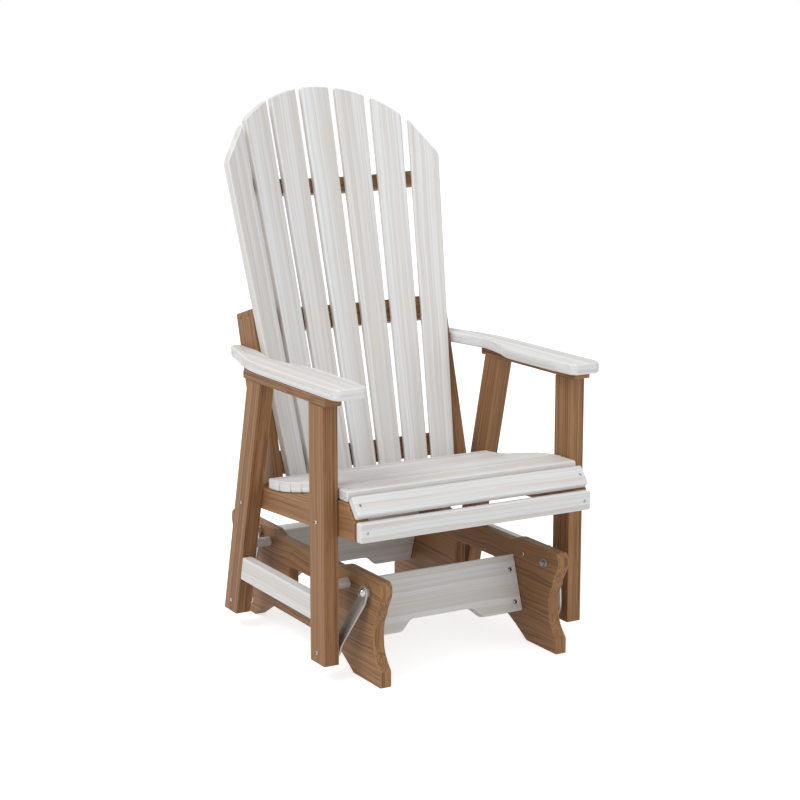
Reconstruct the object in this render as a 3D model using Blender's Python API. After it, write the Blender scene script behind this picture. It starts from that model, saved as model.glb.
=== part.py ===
"""Garden glider: a high-backed armchair of lumber boards that hangs on four steel bars from a low base.

Metres, +Z up, the sitter faces -Y, and left and right are the viewer's when the front is faced.
Stations along Y are measured from the front face of the front legs; the whole model is then
centred over its own bounding box.
"""

import math

import bmesh
import bpy
from mathutils import Matrix, Vector

# Clearances and roundings shared by the whole glider
SEAT_GAP = 0.0003
BORE_CLEARANCE = 0.0004
CUT_OVERRUN = 0.005
WELD_DISTANCE = 0.00001
EDGE_STEPS = 2
ROUND_STEPS = 16
CURVE_STEPS = 3
SHARP_ANGLE = math.radians(30)
SMOOTH_ANGLE = math.radians(50)
FULL_TURN = 2 * math.pi
HALF_TURN = math.pi
QUARTER_TURN = math.pi / 2

# Base sides: their outline, foot arch, stepped top and window
BASE_WIDTH = 0.4942
BASE_BOARD = 0.0290
BASE_LENGTH = 0.7620
BASE_HEIGHT = 0.2410
BASE_LEAD = 0.0864
BASE_EDGE = 0.0030
WINDOW_RADIUS = 0.0203
WINDOW_CORNER_STEPS = 4
BASE_END_SHARES = (
    (0.0067, 0.000), (0.0067, 0.153), (0.0280, 0.232), (0.0420, 0.306), (0.0480, 0.395),
    (0.0480, 0.511), (0.0420, 0.601), (0.0300, 0.668), (0.0250, 0.727), (0.0067, 0.827),
    (0.0000, 0.885), (0.0010, 0.955), (0.0110, 1.000),
)
BASE_FOOT_SHARES = ((0.169, 0.000), (0.230, 0.113), (0.273, 0.179), (0.300, 0.199))
BASE_STEP_SHARES = ((0.223, 0.277), (0.647, 0.703))
BASE_STEP_DEPTH_SHARE = 0.0485
WINDOW_SPAN_SHARES = (0.333, 0.590)
WINDOW_HEIGHT_SHARES = (0.379, 0.706)

# Base rails: leaning boards between the sides, notched from below
FRONT_RAIL_HEIGHT = 0.1347
REAR_RAIL_HEIGHT = 0.1490
BASE_RAIL_BOARD = 0.0254
BASE_RAIL_LEAN = math.radians(18.4)
FRONT_RAIL_FOOT = 0.0569
REAR_RAIL_FOOT = 0.5812
FRONT_RAIL_RISE = 0.0706
REAR_RAIL_RISE = 0.0665
NOTCH_HEIGHT = 0.0255
NOTCH_INNER = 0.0762
NOTCH_OUTER = 0.1156
BASE_RAIL_EDGE = 0.0030

# Stop rods on the outer faces of the base sides
ROD_RADIUS = 0.0112
ROD_LENGTH = 0.0483
ROD_EDGE = 0.0025
FRONT_ROD_STATION = 0.0610
FRONT_ROD_RISE = 0.2073
REAR_ROD_STATION = 0.4575
REAR_ROD_RISE = 0.2088

# Legs, their stretchers and what lies on them
LEG_SPACING = 0.6096
LEG_BOARD = 0.0383
LEG_DEPTH = 0.0655
LEG_BOTTOM = 0.0414
LEG_TOP = 0.6279
LEG_EDGE = 0.0025
REAR_LEG_DEPTH = 0.0648
REAR_LEG_FOOT = 0.4521
REAR_LEG_LEAN = math.radians(14.2)
STRETCHER_BOARD = 0.0241
STRETCHER_HEIGHT = 0.0564
STRETCHER_RISE = 0.1346
STRETCHER_INSET = 0.0015
STRETCHER_EDGE = 0.0025
ARM_SUPPORT_BOARD = 0.0193
ARM_SUPPORT_INNER_LIP = 0.0008
ARM_SUPPORT_OUTER_LIP = 0.0030
ARM_SUPPORT_FRONT_LIP = 0.0163
ARM_SUPPORT_REAR_LIP = 0.0152
ARM_SUPPORT_EDGE = 0.0020

# Armrests, whose outline is given in shares of their length and width
ARM_BOARD = 0.0267
ARM_LENGTH = 0.6312
ARM_WIDTH = 0.0894
ARM_LEAD = 0.0673
ARM_OUTER_LIP = 0.0040
ARM_EDGE = 0.0048
ARM_INNER_SHARES = (
    (0.004, 0.185), (0.024, 0.075), (0.127, 0.020), (0.235, 0.000), (0.400, 0.000),
    (0.457, 0.057), (0.517, 0.200), (0.618, 0.325), (0.670, 0.345), (0.730, 0.271),
    (0.807, 0.163), (0.855, 0.101),
)
ARM_OUTER_SHARES = (
    (1.000, 0.394), (0.960, 0.486), (0.899, 0.583), (0.839, 0.711), (0.779, 0.826),
    (0.722, 0.914), (0.678, 0.975), (0.600, 1.000),
)
ARM_CORNER_SHARES = ((0.060, 1.000), (0.040, 0.990), (0.025, 0.965), (0.013, 0.918), (0.004, 0.840))

# Seat: stringers shaped along their top, slats that follow the dip, nose slat and apron
STRINGER_BOARD = 0.0376
STRINGER_LEAD = 0.0706
STRINGER_END = 0.4420
STRINGER_FRONT_RISE = 0.3388
STRINGER_FALL = math.radians(3.35)
STRINGER_NOSE = 0.0422
STRINGER_NOSE_SLOPE = math.radians(49.1)
STRINGER_EDGE = 0.0020
SEAT_END_INSET = 0.0038
SEAT_TOP = 0.4415
SEAT_DIP = 0.0495
SEAT_DIP_START = 0.0203
SEAT_DIP_LENGTH = 0.3404
SEAT_START = 0.0318
SEAT_SLATS = 7
SEAT_SLAT_WIDTH = 0.0526
SEAT_SLAT_PITCH = 0.0556
SEAT_SLAT_BOARD = 0.0254
SEAT_SLAT_EDGE = 0.0045
NOSE_SLAT_WIDTH = 0.0495
NOSE_SLAT_BOARD = 0.0216
NOSE_SLAT_START = 0.0043
APRON_HEIGHT = 0.0445
APRON_BOARD = 0.0216
APRON_DROP = 0.0010

# Back: a fan of flat slats on a hollow curve, rails behind them and two posts
BACK_LEAN = math.radians(15.94)
BACK_FOOT = 0.3163
BACK_RADIUS = 0.6748
BACK_SLATS_EACH_SIDE = 3
BACK_SPACING = 0.0678
BACK_SPACING_HEIGHT = 0.3962
BACK_FAN_SHARE = 0.0264
BACK_SLAT_BOTTOM = 0.3454
BACK_SLAT_BOARD = 0.0190
BACK_SLAT_WIDTH = 0.0572
BACK_TAPER_SHARE = 0.0188
BACK_SLAT_EDGE = 0.0040
BACK_ARC_RADIUS = 0.3150
BACK_ARC_HEIGHT = 1.0135
BACK_ARC_STEPS = 8
BACK_RAIL_BOARD = 0.0274
BACK_RAIL_EDGE = 0.0020
LOWER_RAIL_HEIGHT = 0.3937
MIDDLE_RAIL_HEIGHT = 0.7348
UPPER_RAIL_HEIGHT = 1.0668
UPPER_RAIL_BOARD = 0.0381
UPPER_RAIL_REACH = 0.2616
UPPER_RAIL_DEPTH = 0.0300
POST_BOARD = 0.0284
POST_DEPTH = 0.0889
POST_BOTTOM = 0.3378
POST_EDGE = 0.0020

# Hanger bars and their pivots
HANGER_LENGTH = 0.1549
HANGER_WIDTH = 0.0318
HANGER_BOARD = 0.0048
HANGER_STANDOFF = 0.0089
HANGER_JOG_START = 0.0220
HANGER_JOG_END = 0.1329
HANGER_END_STEPS = 10
HANGER_EDGE = 0.0006
FRONT_HANGER_LEAN = math.radians(23.58)
REAR_HANGER_LEAN = math.radians(11.5)
FRONT_PIVOT_RISE = 0.0665
REAR_PIVOT_RISE = 0.0709
BEARING_RADIUS = 0.0120
CAP_RADIUS = 0.0105
CAP_HEIGHT = 0.0085

# Bolts
BOLT_RADIUS = 0.0032
LEG_HEAD_RADIUS = 0.0048
LEG_HEAD_HEIGHT = 0.0030
INNER_NUT_RADIUS = 0.0080
INNER_NUT_HEIGHT = 0.0095
WASHER_RADIUS = 0.0108
WASHER_BOARD = 0.0016
NUT_RADIUS = 0.0066
NUT_HEIGHT = 0.0065
HEAD_STEPS = 3
SEAT_BOLT_RISE = 0.3645
REAR_BOLT_RISE = 0.3261
LEG_BOLT_BITE = 0.0280

# Places that follow from the sizes above
BASE_OUTER = BASE_WIDTH / 2
BASE_INNER = BASE_OUTER - BASE_BOARD
LEG_INNER = LEG_SPACING / 2
LEG_OUTER = LEG_INNER + LEG_BOARD
SEAT_REACH = LEG_SPACING - 2 * SEAT_END_INSET
STRINGER_OUTER = LEG_INNER - SEAT_GAP
STRINGER_INNER = STRINGER_OUTER - STRINGER_BOARD
POST_OUTER = STRINGER_INNER - SEAT_GAP
POST_INNER = POST_OUTER - POST_BOARD
HANGER_INNER = BASE_OUTER + HANGER_STANDOFF
HANGER_JOG = LEG_INNER - HANGER_STANDOFF - HANGER_BOARD - HANGER_INNER
POST_TOP = MIDDLE_RAIL_HEIGHT + 2 * BACK_RAIL_BOARD + SEAT_GAP
SIDES = (("left", -1), ("right", 1))


def clear_scene():
    """Remove every object the file opened with."""
    for thing in list(bpy.data.objects):
        bpy.data.objects.remove(thing, do_unlink=True)


def material(name, colour, roughness, metallic):
    """A material with one colour, roughness and metallic value."""
    made = bpy.data.materials.new(name)
    made.use_nodes = True
    shader = made.node_tree.nodes["Principled BSDF"]
    shader.inputs["Base Color"].default_value = (*colour, 1)
    shader.inputs["Roughness"].default_value = roughness
    shader.inputs["Metallic"].default_value = metallic
    made.diffuse_color = (*colour, 1)
    return made


def white_lumber(name):
    """Pale grained board for one piece."""
    return material(f"{name}_white_lumber", (0.72, 0.69, 0.65), 0.55, 0)


def brown_lumber(name):
    """Brown grained board for one piece."""
    return material(f"{name}_brown_lumber", (0.26, 0.145, 0.075), 0.55, 0)


def stainless(name):
    """Brushed stainless steel for one piece."""
    return material(f"{name}_stainless", (0.62, 0.62, 0.61), 0.28, 1)


def add_empty(name, parent=None, location=(0, 0, 0), rotation=(0, 0, 0)):
    """An empty that carries a group of pieces."""
    empty = bpy.data.objects.new(name, None)
    bpy.context.collection.objects.link(empty)
    empty.parent = parent
    empty.location = location
    empty.rotation_euler = rotation
    return empty


def add_piece(name, bm, paint, parent, place):
    """An object from a finished mesh, at a place given in its parent's frame."""
    mesh = bpy.data.meshes.new(name)
    bm.to_mesh(mesh)
    bm.free()
    mesh.shade_smooth()
    mesh.set_sharp_from_angle(angle=SMOOTH_ANGLE)
    piece = bpy.data.objects.new(name, mesh)
    bpy.context.collection.objects.link(piece)
    piece.parent = parent
    piece.matrix_local = place
    mesh.materials.append(paint(name))
    return piece


def at(x, y, z, turn=0, axis="X"):
    """A placing matrix: a turn about one axis, then a shift."""
    return Matrix.Translation((x, y, z)) @ Matrix.Rotation(turn, 4, axis)


def mirrored(side):
    """A half turn about the vertical for the left side, none for the right."""
    return Matrix.Rotation(HALF_TURN if side < 0 else 0, 4, "Z")


def prism(outline, depth):
    """A solid with its outline in the local XY plane, reaching from there along +Z."""
    bm = bmesh.new()
    face = bm.faces.new([bm.verts.new((a, b, 0)) for a, b in outline])
    raised = bmesh.ops.extrude_face_region(bm, geom=[face])["geom"]
    tops = [part for part in raised if isinstance(part, bmesh.types.BMVert)]
    bmesh.ops.translate(bm, vec=(0, 0, depth), verts=tops)
    bmesh.ops.recalc_face_normals(bm, faces=bm.faces[:])
    return bm


def framed_prism(outline, window, depth):
    """A prism like the one above with one window right through it."""
    bm = bmesh.new()
    edges = []
    for loop in (outline, window):
        corners = [bm.verts.new((a, b, 0)) for a, b in loop]
        edges += [bm.edges.new(pair) for pair in zip(corners, corners[1:] + corners[:1])]
    bmesh.ops.triangle_fill(bm, use_beauty=True, use_dissolve=False, edges=edges)
    raised = bmesh.ops.extrude_face_region(bm, geom=bm.faces[:])["geom"]
    tops = [part for part in raised if isinstance(part, bmesh.types.BMVert)]
    bmesh.ops.translate(bm, vec=(0, 0, depth), verts=tops)
    bmesh.ops.recalc_face_normals(bm, faces=bm.faces[:])
    return bm


def box(across, along, height):
    """A box centred on the origin."""
    bm = bmesh.new()
    bmesh.ops.create_cube(bm, size=1)
    bmesh.ops.scale(bm, vec=(across, along, height), verts=bm.verts)
    return bm


def eased(bm, width, steps=EDGE_STEPS):
    """The mesh with its sharp edges rounded."""
    sharp = [edge for edge in bm.edges if edge.calc_face_angle(0) > SHARP_ANGLE]
    bmesh.ops.bevel(
        bm, geom=sharp, offset=width, offset_type="OFFSET", segments=steps, profile=0.5,
        affect="EDGES", clamp_overlap=False, material=-1,
    )
    return bm


def turned(profile, steps=ROUND_STEPS):
    """A solid of revolution about local X from (place along X, radius) pairs that end on the axis."""
    bm = bmesh.new()
    points = [bm.verts.new((along, 0, radius)) for along, radius in profile]
    edges = [bm.edges.new(pair) for pair in zip(points, points[1:])]
    bmesh.ops.spin(
        bm, geom=points + edges, cent=(0, 0, 0), axis=(1, 0, 0), angle=FULL_TURN, steps=steps,
        use_merge=True,
    )
    bmesh.ops.remove_doubles(bm, verts=bm.verts[:], dist=WELD_DISTANCE)
    bmesh.ops.recalc_face_normals(bm, faces=bm.faces[:])
    return bm


def rod(start, end, radius):
    """A plain round rod along local X."""
    return turned(((start, 0), (start, radius), (end, radius), (end, 0)))


def cut(piece, cutter_mesh, place, operation="DIFFERENCE"):
    """Cut a piece by, or join it with, a hidden shape placed in the same parent's frame."""
    mesh = bpy.data.meshes.new(f"{piece.name}_cutter")
    cutter_mesh.to_mesh(mesh)
    cutter_mesh.free()
    cutter = bpy.data.objects.new(f"{piece.name}_cutter", mesh)
    bpy.context.collection.objects.link(cutter)
    cutter.parent = piece.parent
    cutter.matrix_local = place
    cutter.hide_render = True
    cutter.display_type = "WIRE"
    joint = piece.modifiers.new(operation.lower(), "BOOLEAN")
    joint.operation = operation
    joint.solver = "EXACT"
    joint.object = cutter


def bore(piece, station, rise, start, end, side):
    """A bolt hole along X between two distances from the middle plane."""
    drill = rod(start, end, BOLT_RADIUS + BORE_CLEARANCE)
    cut(piece, drill, at(0, station, rise) @ mirrored(side))


def curve_through(points, steps=CURVE_STEPS):
    """A smooth run through the given points, with a number of steps between each two."""
    run = []
    last = len(points) - 1
    for i in range(last):
        before, start = Vector(points[max(i - 1, 0)]), Vector(points[i])
        end, after = Vector(points[i + 1]), Vector(points[min(i + 2, last)])
        for k in range(steps):
            t = k / steps
            pull = (end - before) * t + (2 * before - 5 * start + 4 * end - after) * t * t
            pull += (3 * start - before - 3 * end + after) * t**3
            run.append(tuple(start + pull / 2))
    return run + [tuple(points[last])]


def smooth_step(share):
    """The ease from 0 to 1 of a share between 0 and 1."""
    share = min(max(share, 0), 1)
    return share * share * (3 - 2 * share)


def meet(first, second):
    """The crossing of two lines, each a point and a direction in a plane."""
    (p, d), (q, e) = first, second
    gap = q - p
    reach = (gap.x * e.y - gap.y * e.x) / (d.x * e.y - d.y * e.x)
    return p + reach * d


def side_plane(offset):
    """The placing for an outline drawn as (Y, Z), extruded along +X from an offset."""
    turn = Matrix.Rotation(QUARTER_TURN, 4, "Z") @ Matrix.Rotation(QUARTER_TURN, 4, "X")
    return Matrix.Translation((offset, 0, 0)) @ turn


def side_span(side, inner, outer):
    """The lower X of a board that lies between two distances from the middle plane."""
    return inner if side > 0 else -outer


def front_pivots():
    """Upper and lower pivot of the front hangers, each as (Y, Z)."""
    lower = Vector((LEG_DEPTH / 2, FRONT_PIVOT_RISE))
    lean = Vector((-math.sin(FRONT_HANGER_LEAN), math.cos(FRONT_HANGER_LEAN)))
    return lower + HANGER_LENGTH * lean, lower


def rear_leg_front(rise):
    """Station of the rear leg's front edge at a height."""
    return REAR_LEG_FOOT - (rise - LEG_BOTTOM) * math.tan(REAR_LEG_LEAN)


def rear_leg_middle(rise):
    """Station of the rear leg's middle line at a height."""
    return rear_leg_front(rise) + REAR_LEG_DEPTH / math.cos(REAR_LEG_LEAN) / 2


def rear_pivots():
    """Upper and lower pivot of the rear hangers, each as (Y, Z)."""
    lower = Vector((rear_leg_middle(REAR_PIVOT_RISE), REAR_PIVOT_RISE))
    lean = Vector((math.sin(REAR_HANGER_LEAN), math.cos(REAR_HANGER_LEAN)))
    return lower + HANGER_LENGTH * lean, lower


def base_outline():
    """Outline of a base side as (Y, Z), front end first, then over the top to the rear."""
    ends = curve_through(BASE_END_SHARES[1:])
    front = [BASE_END_SHARES[0]] + ends
    rear = [(1 - along, up) for along, up in reversed(front)]
    foot = list(BASE_FOOT_SHARES)
    arch = [(1 - along, up) for along, up in foot] + list(reversed(foot))
    top = []
    for (start, end), falls in zip(BASE_STEP_SHARES, (True, False)):
        for k in range(CURVE_STEPS + 2):
            part = k / (CURVE_STEPS + 1)
            drop = smooth_step(part) if falls else smooth_step(1 - part)
            top.append((start + part * (end - start), 1 - BASE_STEP_DEPTH_SHARE * drop))
    shares = front + top + rear + arch
    return [(along * BASE_LENGTH - BASE_LEAD, up * BASE_HEIGHT) for along, up in shares]


def window_outline():
    """Outline of the window in a base side, with round corners."""
    start, end = (share * BASE_LENGTH - BASE_LEAD for share in WINDOW_SPAN_SHARES)
    bottom, top = (share * BASE_HEIGHT for share in WINDOW_HEIGHT_SHARES)
    middles = (
        (end - WINDOW_RADIUS, top - WINDOW_RADIUS), (start + WINDOW_RADIUS, top - WINDOW_RADIUS),
        (start + WINDOW_RADIUS, bottom + WINDOW_RADIUS), (end - WINDOW_RADIUS, bottom + WINDOW_RADIUS),
    )
    outline = []
    for corner, (y, z) in enumerate(middles):
        for k in range(WINDOW_CORNER_STEPS + 1):
            angle = QUARTER_TURN * (corner + k / WINDOW_CORNER_STEPS)
            outline.append((y + WINDOW_RADIUS * math.cos(angle), z + WINDOW_RADIUS * math.sin(angle)))
    return outline


def build_base_side(name, side, parent):
    """One shaped side board with its window and its two pivot holes."""
    bm = eased(framed_prism(base_outline(), window_outline(), BASE_BOARD), BASE_EDGE)
    place = side_plane(side_span(side, BASE_INNER, BASE_OUTER))
    piece = add_piece(name, bm, brown_lumber, parent, place)
    for upper in (front_pivots()[0], rear_pivots()[0]):
        bore(piece, upper.x, upper.y, BASE_INNER - CUT_OVERRUN, BASE_OUTER + CUT_OVERRUN, side)


def rail_outline(height):
    """Outline of a base rail as (X, up the board), with the notch in its lower edge."""
    reach = BASE_INNER - SEAT_GAP
    half = []
    for k in range(CURVE_STEPS * 2 + 1):
        part = k / (CURVE_STEPS * 2)
        half.append((NOTCH_INNER + part * (NOTCH_OUTER - NOTCH_INNER), NOTCH_HEIGHT * smooth_step(1 - part)))
    left = [(-across, up) for across, up in reversed(half)]
    return [(-reach, 0)] + left + half + [(reach, 0), (reach, height), (-reach, height)]


def build_base_rail(name, height, foot, rise, lean, parent):
    """One leaning rail, drawn upright with its face forward and then leaned."""
    bm = eased(prism(rail_outline(height), BASE_RAIL_BOARD), BASE_RAIL_EDGE)
    upright = Matrix.Translation((0, 0, -BASE_RAIL_BOARD))
    place = at(0, foot, rise, QUARTER_TURN - lean) @ upright
    add_piece(name, bm, white_lumber, parent, place)


def build_stop_rod(name, side, station, rise, parent):
    """One round peg on the outer face of a base side."""
    start = BASE_OUTER + SEAT_GAP
    end = start + ROD_LENGTH
    profile = (
        (start, 0), (start, ROD_RADIUS), (end - ROD_EDGE, ROD_RADIUS),
        (end, ROD_RADIUS - ROD_EDGE), (end, 0),
    )
    add_piece(name, turned(profile), white_lumber, parent, at(0, station, rise) @ mirrored(side))


def dome(start, radius, height, outward=1):
    """Profile points of a dome that rises from a radius to the axis."""
    points = []
    for k in range(HEAD_STEPS + 1):
        angle = QUARTER_TURN * k / HEAD_STEPS
        points.append((start + outward * height * math.sin(angle), radius * math.cos(angle)))
    points[-1] = (start + outward * height, 0)
    return points


def build_upper_bolt(name, side, pivot, parent):
    """Pivot bolt with a nut inside a base side and a washer and domed cap outside the hanger."""
    head = BASE_INNER - SEAT_GAP
    washer = HANGER_INNER + HANGER_BOARD + SEAT_GAP
    nut = washer + WASHER_BOARD
    profile = [
        (head - INNER_NUT_HEIGHT, 0), (head - INNER_NUT_HEIGHT, INNER_NUT_RADIUS),
        (head, INNER_NUT_RADIUS), (head, BOLT_RADIUS), (washer, BOLT_RADIUS),
        (washer, WASHER_RADIUS), (nut, WASHER_RADIUS), (nut, CAP_RADIUS),
    ]
    profile += dome(nut, CAP_RADIUS, CAP_HEIGHT)[1:]
    place = at(0, pivot.x, pivot.y) @ mirrored(side)
    add_piece(name, turned(profile), stainless, parent, place)


def outer_head():
    """Profile of a domed head on the outer face of a leg, from the shank out."""
    head = LEG_OUTER + SEAT_GAP
    return [(head, BOLT_RADIUS)] + dome(head, LEG_HEAD_RADIUS, LEG_HEAD_HEIGHT)


def build_front_lower_bolt(name, side, parent):
    """Pivot bolt through a front leg and the front hanger, with its nut on the inner side."""
    pivot = front_pivots()[1]
    nut = HANGER_INNER + HANGER_JOG - SEAT_GAP
    profile = [(nut - NUT_HEIGHT, 0), (nut - NUT_HEIGHT, NUT_RADIUS), (nut, NUT_RADIUS), (nut, BOLT_RADIUS)]
    place = at(0, pivot.x, pivot.y) @ mirrored(side)
    add_piece(name, turned(profile + outer_head()), stainless, parent, place)


def build_leg_bolt(name, side, station, rise, end, parent):
    """A bolt from the outer face of a leg to a depth inside."""
    profile = [(end, 0), (end, BOLT_RADIUS)] + outer_head()
    place = at(0, station, rise) @ mirrored(side)
    add_piece(name, turned(profile), stainless, parent, place)


def hanger_bar():
    """The flat bar with round ends and its jog, hanging down from its upper pivot."""
    radius = HANGER_WIDTH / 2
    outline = []
    for middle, start in ((0, 0), (-HANGER_LENGTH, HALF_TURN)):
        for k in range(HANGER_END_STEPS + 1):
            angle = start + HALF_TURN * k / HANGER_END_STEPS
            outline.append((radius * math.cos(angle), middle + radius * math.sin(angle)))
    bm = prism(outline, HANGER_BOARD)
    for level in (HANGER_JOG_START, HANGER_JOG_END):
        bmesh.ops.bisect_plane(
            bm, geom=bm.verts[:] + bm.edges[:] + bm.faces[:], plane_co=(0, -level, 0), plane_no=(0, 1, 0),
        )
    for point in bm.verts:
        share = (-point.co.y - HANGER_JOG_START) / (HANGER_JOG_END - HANGER_JOG_START)
        point.co.z += HANGER_INNER + HANGER_JOG * min(max(share, 0), 1)
    bmesh.ops.transform(bm, matrix=side_plane(0), verts=bm.verts[:])
    return bm


def build_hanger(name, side, pivot, lean, closed, parent):
    """One hanger with its bearing rings; the closed one has a hole for the lower bolt."""
    swing = at(0, pivot.x, pivot.y, lean) @ mirrored(side)
    piece = add_piece(name, hanger_bar(), stainless, parent, swing)
    lower = swing @ Matrix.Translation((0, 0, -HANGER_LENGTH))
    inside = HANGER_INNER + HANGER_BOARD / 2
    outside = inside + HANGER_JOG
    cut(piece, rod(BASE_OUTER + SEAT_GAP, inside, BEARING_RADIUS), swing, "UNION")
    cut(piece, rod(outside, LEG_INNER - SEAT_GAP, BEARING_RADIUS), lower, "UNION")
    radius = BOLT_RADIUS + BORE_CLEARANCE
    cut(piece, rod(BASE_OUTER - CUT_OVERRUN, HANGER_INNER + HANGER_BOARD + CUT_OVERRUN, radius), swing)
    if closed:
        cut(piece, rod(HANGER_INNER + HANGER_JOG - CUT_OVERRUN, LEG_INNER + CUT_OVERRUN, radius), lower)
    else:
        cap = dome(outside - HANGER_BOARD / 2, CAP_RADIUS, CAP_HEIGHT, -1)
        cut(piece, turned([(outside, 0), (outside, CAP_RADIUS)] + cap), lower, "UNION")


def build_front_leg(name, side, parent):
    """One upright front leg with its two bolt holes."""
    place = at(side * (LEG_INNER + LEG_BOARD / 2), LEG_DEPTH / 2, (LEG_BOTTOM + LEG_TOP) / 2)
    bm = eased(box(LEG_BOARD, LEG_DEPTH, LEG_TOP - LEG_BOTTOM), LEG_EDGE)
    piece = add_piece(name, bm, brown_lumber, parent, place)
    for rise in (FRONT_PIVOT_RISE, SEAT_BOLT_RISE):
        bore(piece, LEG_DEPTH / 2, rise, LEG_INNER - CUT_OVERRUN, LEG_OUTER + CUT_OVERRUN, side)


def build_rear_leg(name, side, parent):
    """One leaning rear leg, cut level at both ends, with its two bolt holes."""
    depth = REAR_LEG_DEPTH / math.cos(REAR_LEG_LEAN)
    outline = []
    for rise in (LEG_BOTTOM, LEG_TOP):
        outline.append((rear_leg_front(rise), rise))
        outline.append((rear_leg_front(rise) + depth, rise))
    outline = [outline[0], outline[1], outline[3], outline[2]]
    bm = eased(prism(outline, LEG_BOARD), LEG_EDGE)
    piece = add_piece(name, bm, brown_lumber, parent, side_plane(side_span(side, LEG_INNER, LEG_OUTER)))
    for rise in (REAR_PIVOT_RISE, REAR_BOLT_RISE):
        bore(piece, rear_leg_middle(rise), rise, LEG_INNER - CUT_OVERRUN, LEG_OUTER + CUT_OVERRUN, side)


def build_stretcher(name, side, parent):
    """One stretcher between the legs of a side, its rear end cut to the rear leg's slant."""
    top = STRETCHER_RISE + STRETCHER_HEIGHT
    slant_gap = SEAT_GAP / math.cos(REAR_LEG_LEAN)
    outline = [
        (LEG_DEPTH + SEAT_GAP, STRETCHER_RISE), (rear_leg_front(STRETCHER_RISE) - slant_gap, STRETCHER_RISE),
        (rear_leg_front(top) - slant_gap, top), (LEG_DEPTH + SEAT_GAP, top),
    ]
    outer = LEG_OUTER - STRETCHER_INSET
    bm = eased(prism(outline, STRETCHER_BOARD), STRETCHER_EDGE)
    place = side_plane(side_span(side, outer - STRETCHER_BOARD, outer))
    add_piece(name, bm, white_lumber, parent, place)


def build_arm_support(name, side, parent):
    """The thin board that lies on both legs of a side."""
    inner = LEG_INNER - ARM_SUPPORT_INNER_LIP
    outer = LEG_OUTER + ARM_SUPPORT_OUTER_LIP
    front = -ARM_SUPPORT_FRONT_LIP
    depth = REAR_LEG_DEPTH / math.cos(REAR_LEG_LEAN)
    rear = rear_leg_front(LEG_TOP) + depth + ARM_SUPPORT_REAR_LIP
    bm = eased(box(outer - inner, rear - front, ARM_SUPPORT_BOARD), ARM_SUPPORT_EDGE)
    rise = LEG_TOP + SEAT_GAP + ARM_SUPPORT_BOARD / 2
    place = at(side * (inner + outer) / 2, (front + rear) / 2, rise)
    add_piece(name, bm, brown_lumber, parent, place)


def arm_outline(side):
    """Outline of an armrest as (X, Y), with its tail along the outer face of the back post."""
    outer = LEG_OUTER + ARM_OUTER_LIP
    inner = outer - ARM_WIDTH
    tail = POST_OUTER + SEAT_GAP
    inside, outside, corner = (
        [(inner + across * ARM_WIDTH, along * ARM_LENGTH - ARM_LEAD) for along, across in shares]
        for shares in (ARM_INNER_SHARES, ARM_OUTER_SHARES, ARM_CORNER_SHARES)
    )
    inside[-1] = (tail, inside[-1][1])
    run = [inside[0]] + curve_through(inside[1:]) + [(tail, outside[0][1])]
    run += curve_through(outside) + corner
    return [(side * x, y) for x, y in (run if side < 0 else reversed(run))]


def build_armrest(name, side, parent):
    """One armrest board on its support."""
    bm = eased(prism(arm_outline(side), ARM_BOARD), ARM_EDGE)
    rise = LEG_TOP + ARM_SUPPORT_BOARD + 2 * SEAT_GAP
    add_piece(name, bm, white_lumber, parent, at(0, 0, rise))


def seat_point(station):
    """Point of the seat's top surface and its slope angle at a station."""
    share = min(max((station - SEAT_DIP_START) / SEAT_DIP_LENGTH, 0), 1)
    rise = SEAT_TOP - SEAT_DIP * smooth_step(share)
    slope = -SEAT_DIP / SEAT_DIP_LENGTH * 6 * share * (1 - share)
    return Vector((station, rise)), math.atan(slope)


def seat_slat_middle(index):
    """Station of the middle of a seat slat."""
    return SEAT_SLAT_WIDTH / 2 - SEAT_START + index * SEAT_SLAT_PITCH


def slat_underside(index):
    """The line that the stringer keeps to under a seat slat."""
    top, slope = seat_point(seat_slat_middle(index))
    down = Vector((math.sin(slope), -math.cos(slope)))
    return top + (SEAT_SLAT_BOARD + SEAT_GAP) * down, Vector((math.cos(slope), math.sin(slope)))


def stringer_bottom(station):
    """Height of the stringer's lower edge at a station."""
    return STRINGER_FRONT_RISE - (station + STRINGER_LEAD) * math.tan(STRINGER_FALL)


def nose_line():
    """The slanted nose of the stringer: its lower corner and its direction."""
    corner = Vector((-STRINGER_LEAD, STRINGER_FRONT_RISE + STRINGER_NOSE))
    return corner, Vector((math.cos(STRINGER_NOSE_SLOPE), math.sin(STRINGER_NOSE_SLOPE)))


def stringer_outline():
    """Outline of a stringer as (Y, Z), its top under the slats with a corner between each two."""
    lines = [slat_underside(index) for index in range(SEAT_SLATS)]
    top = [meet(nose_line(), lines[0])]
    for (ahead, slope), (behind, fall) in zip(lines, lines[1:]):
        first, second = ahead + SEAT_SLAT_WIDTH / 2 * slope, behind - SEAT_SLAT_WIDTH / 2 * fall
        top.append(Vector(((first.x + second.x) / 2, min(first.y, second.y))))
    top.append(meet(lines[-1], (Vector((STRINGER_END, 0)), Vector((0, 1)))))
    bottom = [Vector((station, stringer_bottom(station))) for station in (-STRINGER_LEAD, STRINGER_END)]
    return [tuple(point) for point in bottom + list(reversed(top)) + [nose_line()[0]]]


def build_stringer(name, side, parent):
    """One seat stringer with blind holes for the bolts from the legs."""
    bm = eased(prism(stringer_outline(), STRINGER_BOARD), STRINGER_EDGE)
    place = side_plane(side_span(side, STRINGER_INNER, STRINGER_OUTER))
    piece = add_piece(name, bm, brown_lumber, parent, place)
    start = LEG_INNER - LEG_BOLT_BITE - BORE_CLEARANCE
    bore(piece, LEG_DEPTH / 2, SEAT_BOLT_RISE, start, LEG_INNER + CUT_OVERRUN, side)
    bore(piece, rear_leg_middle(REAR_BOLT_RISE), REAR_BOLT_RISE, start, LEG_INNER + CUT_OVERRUN, side)


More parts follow.
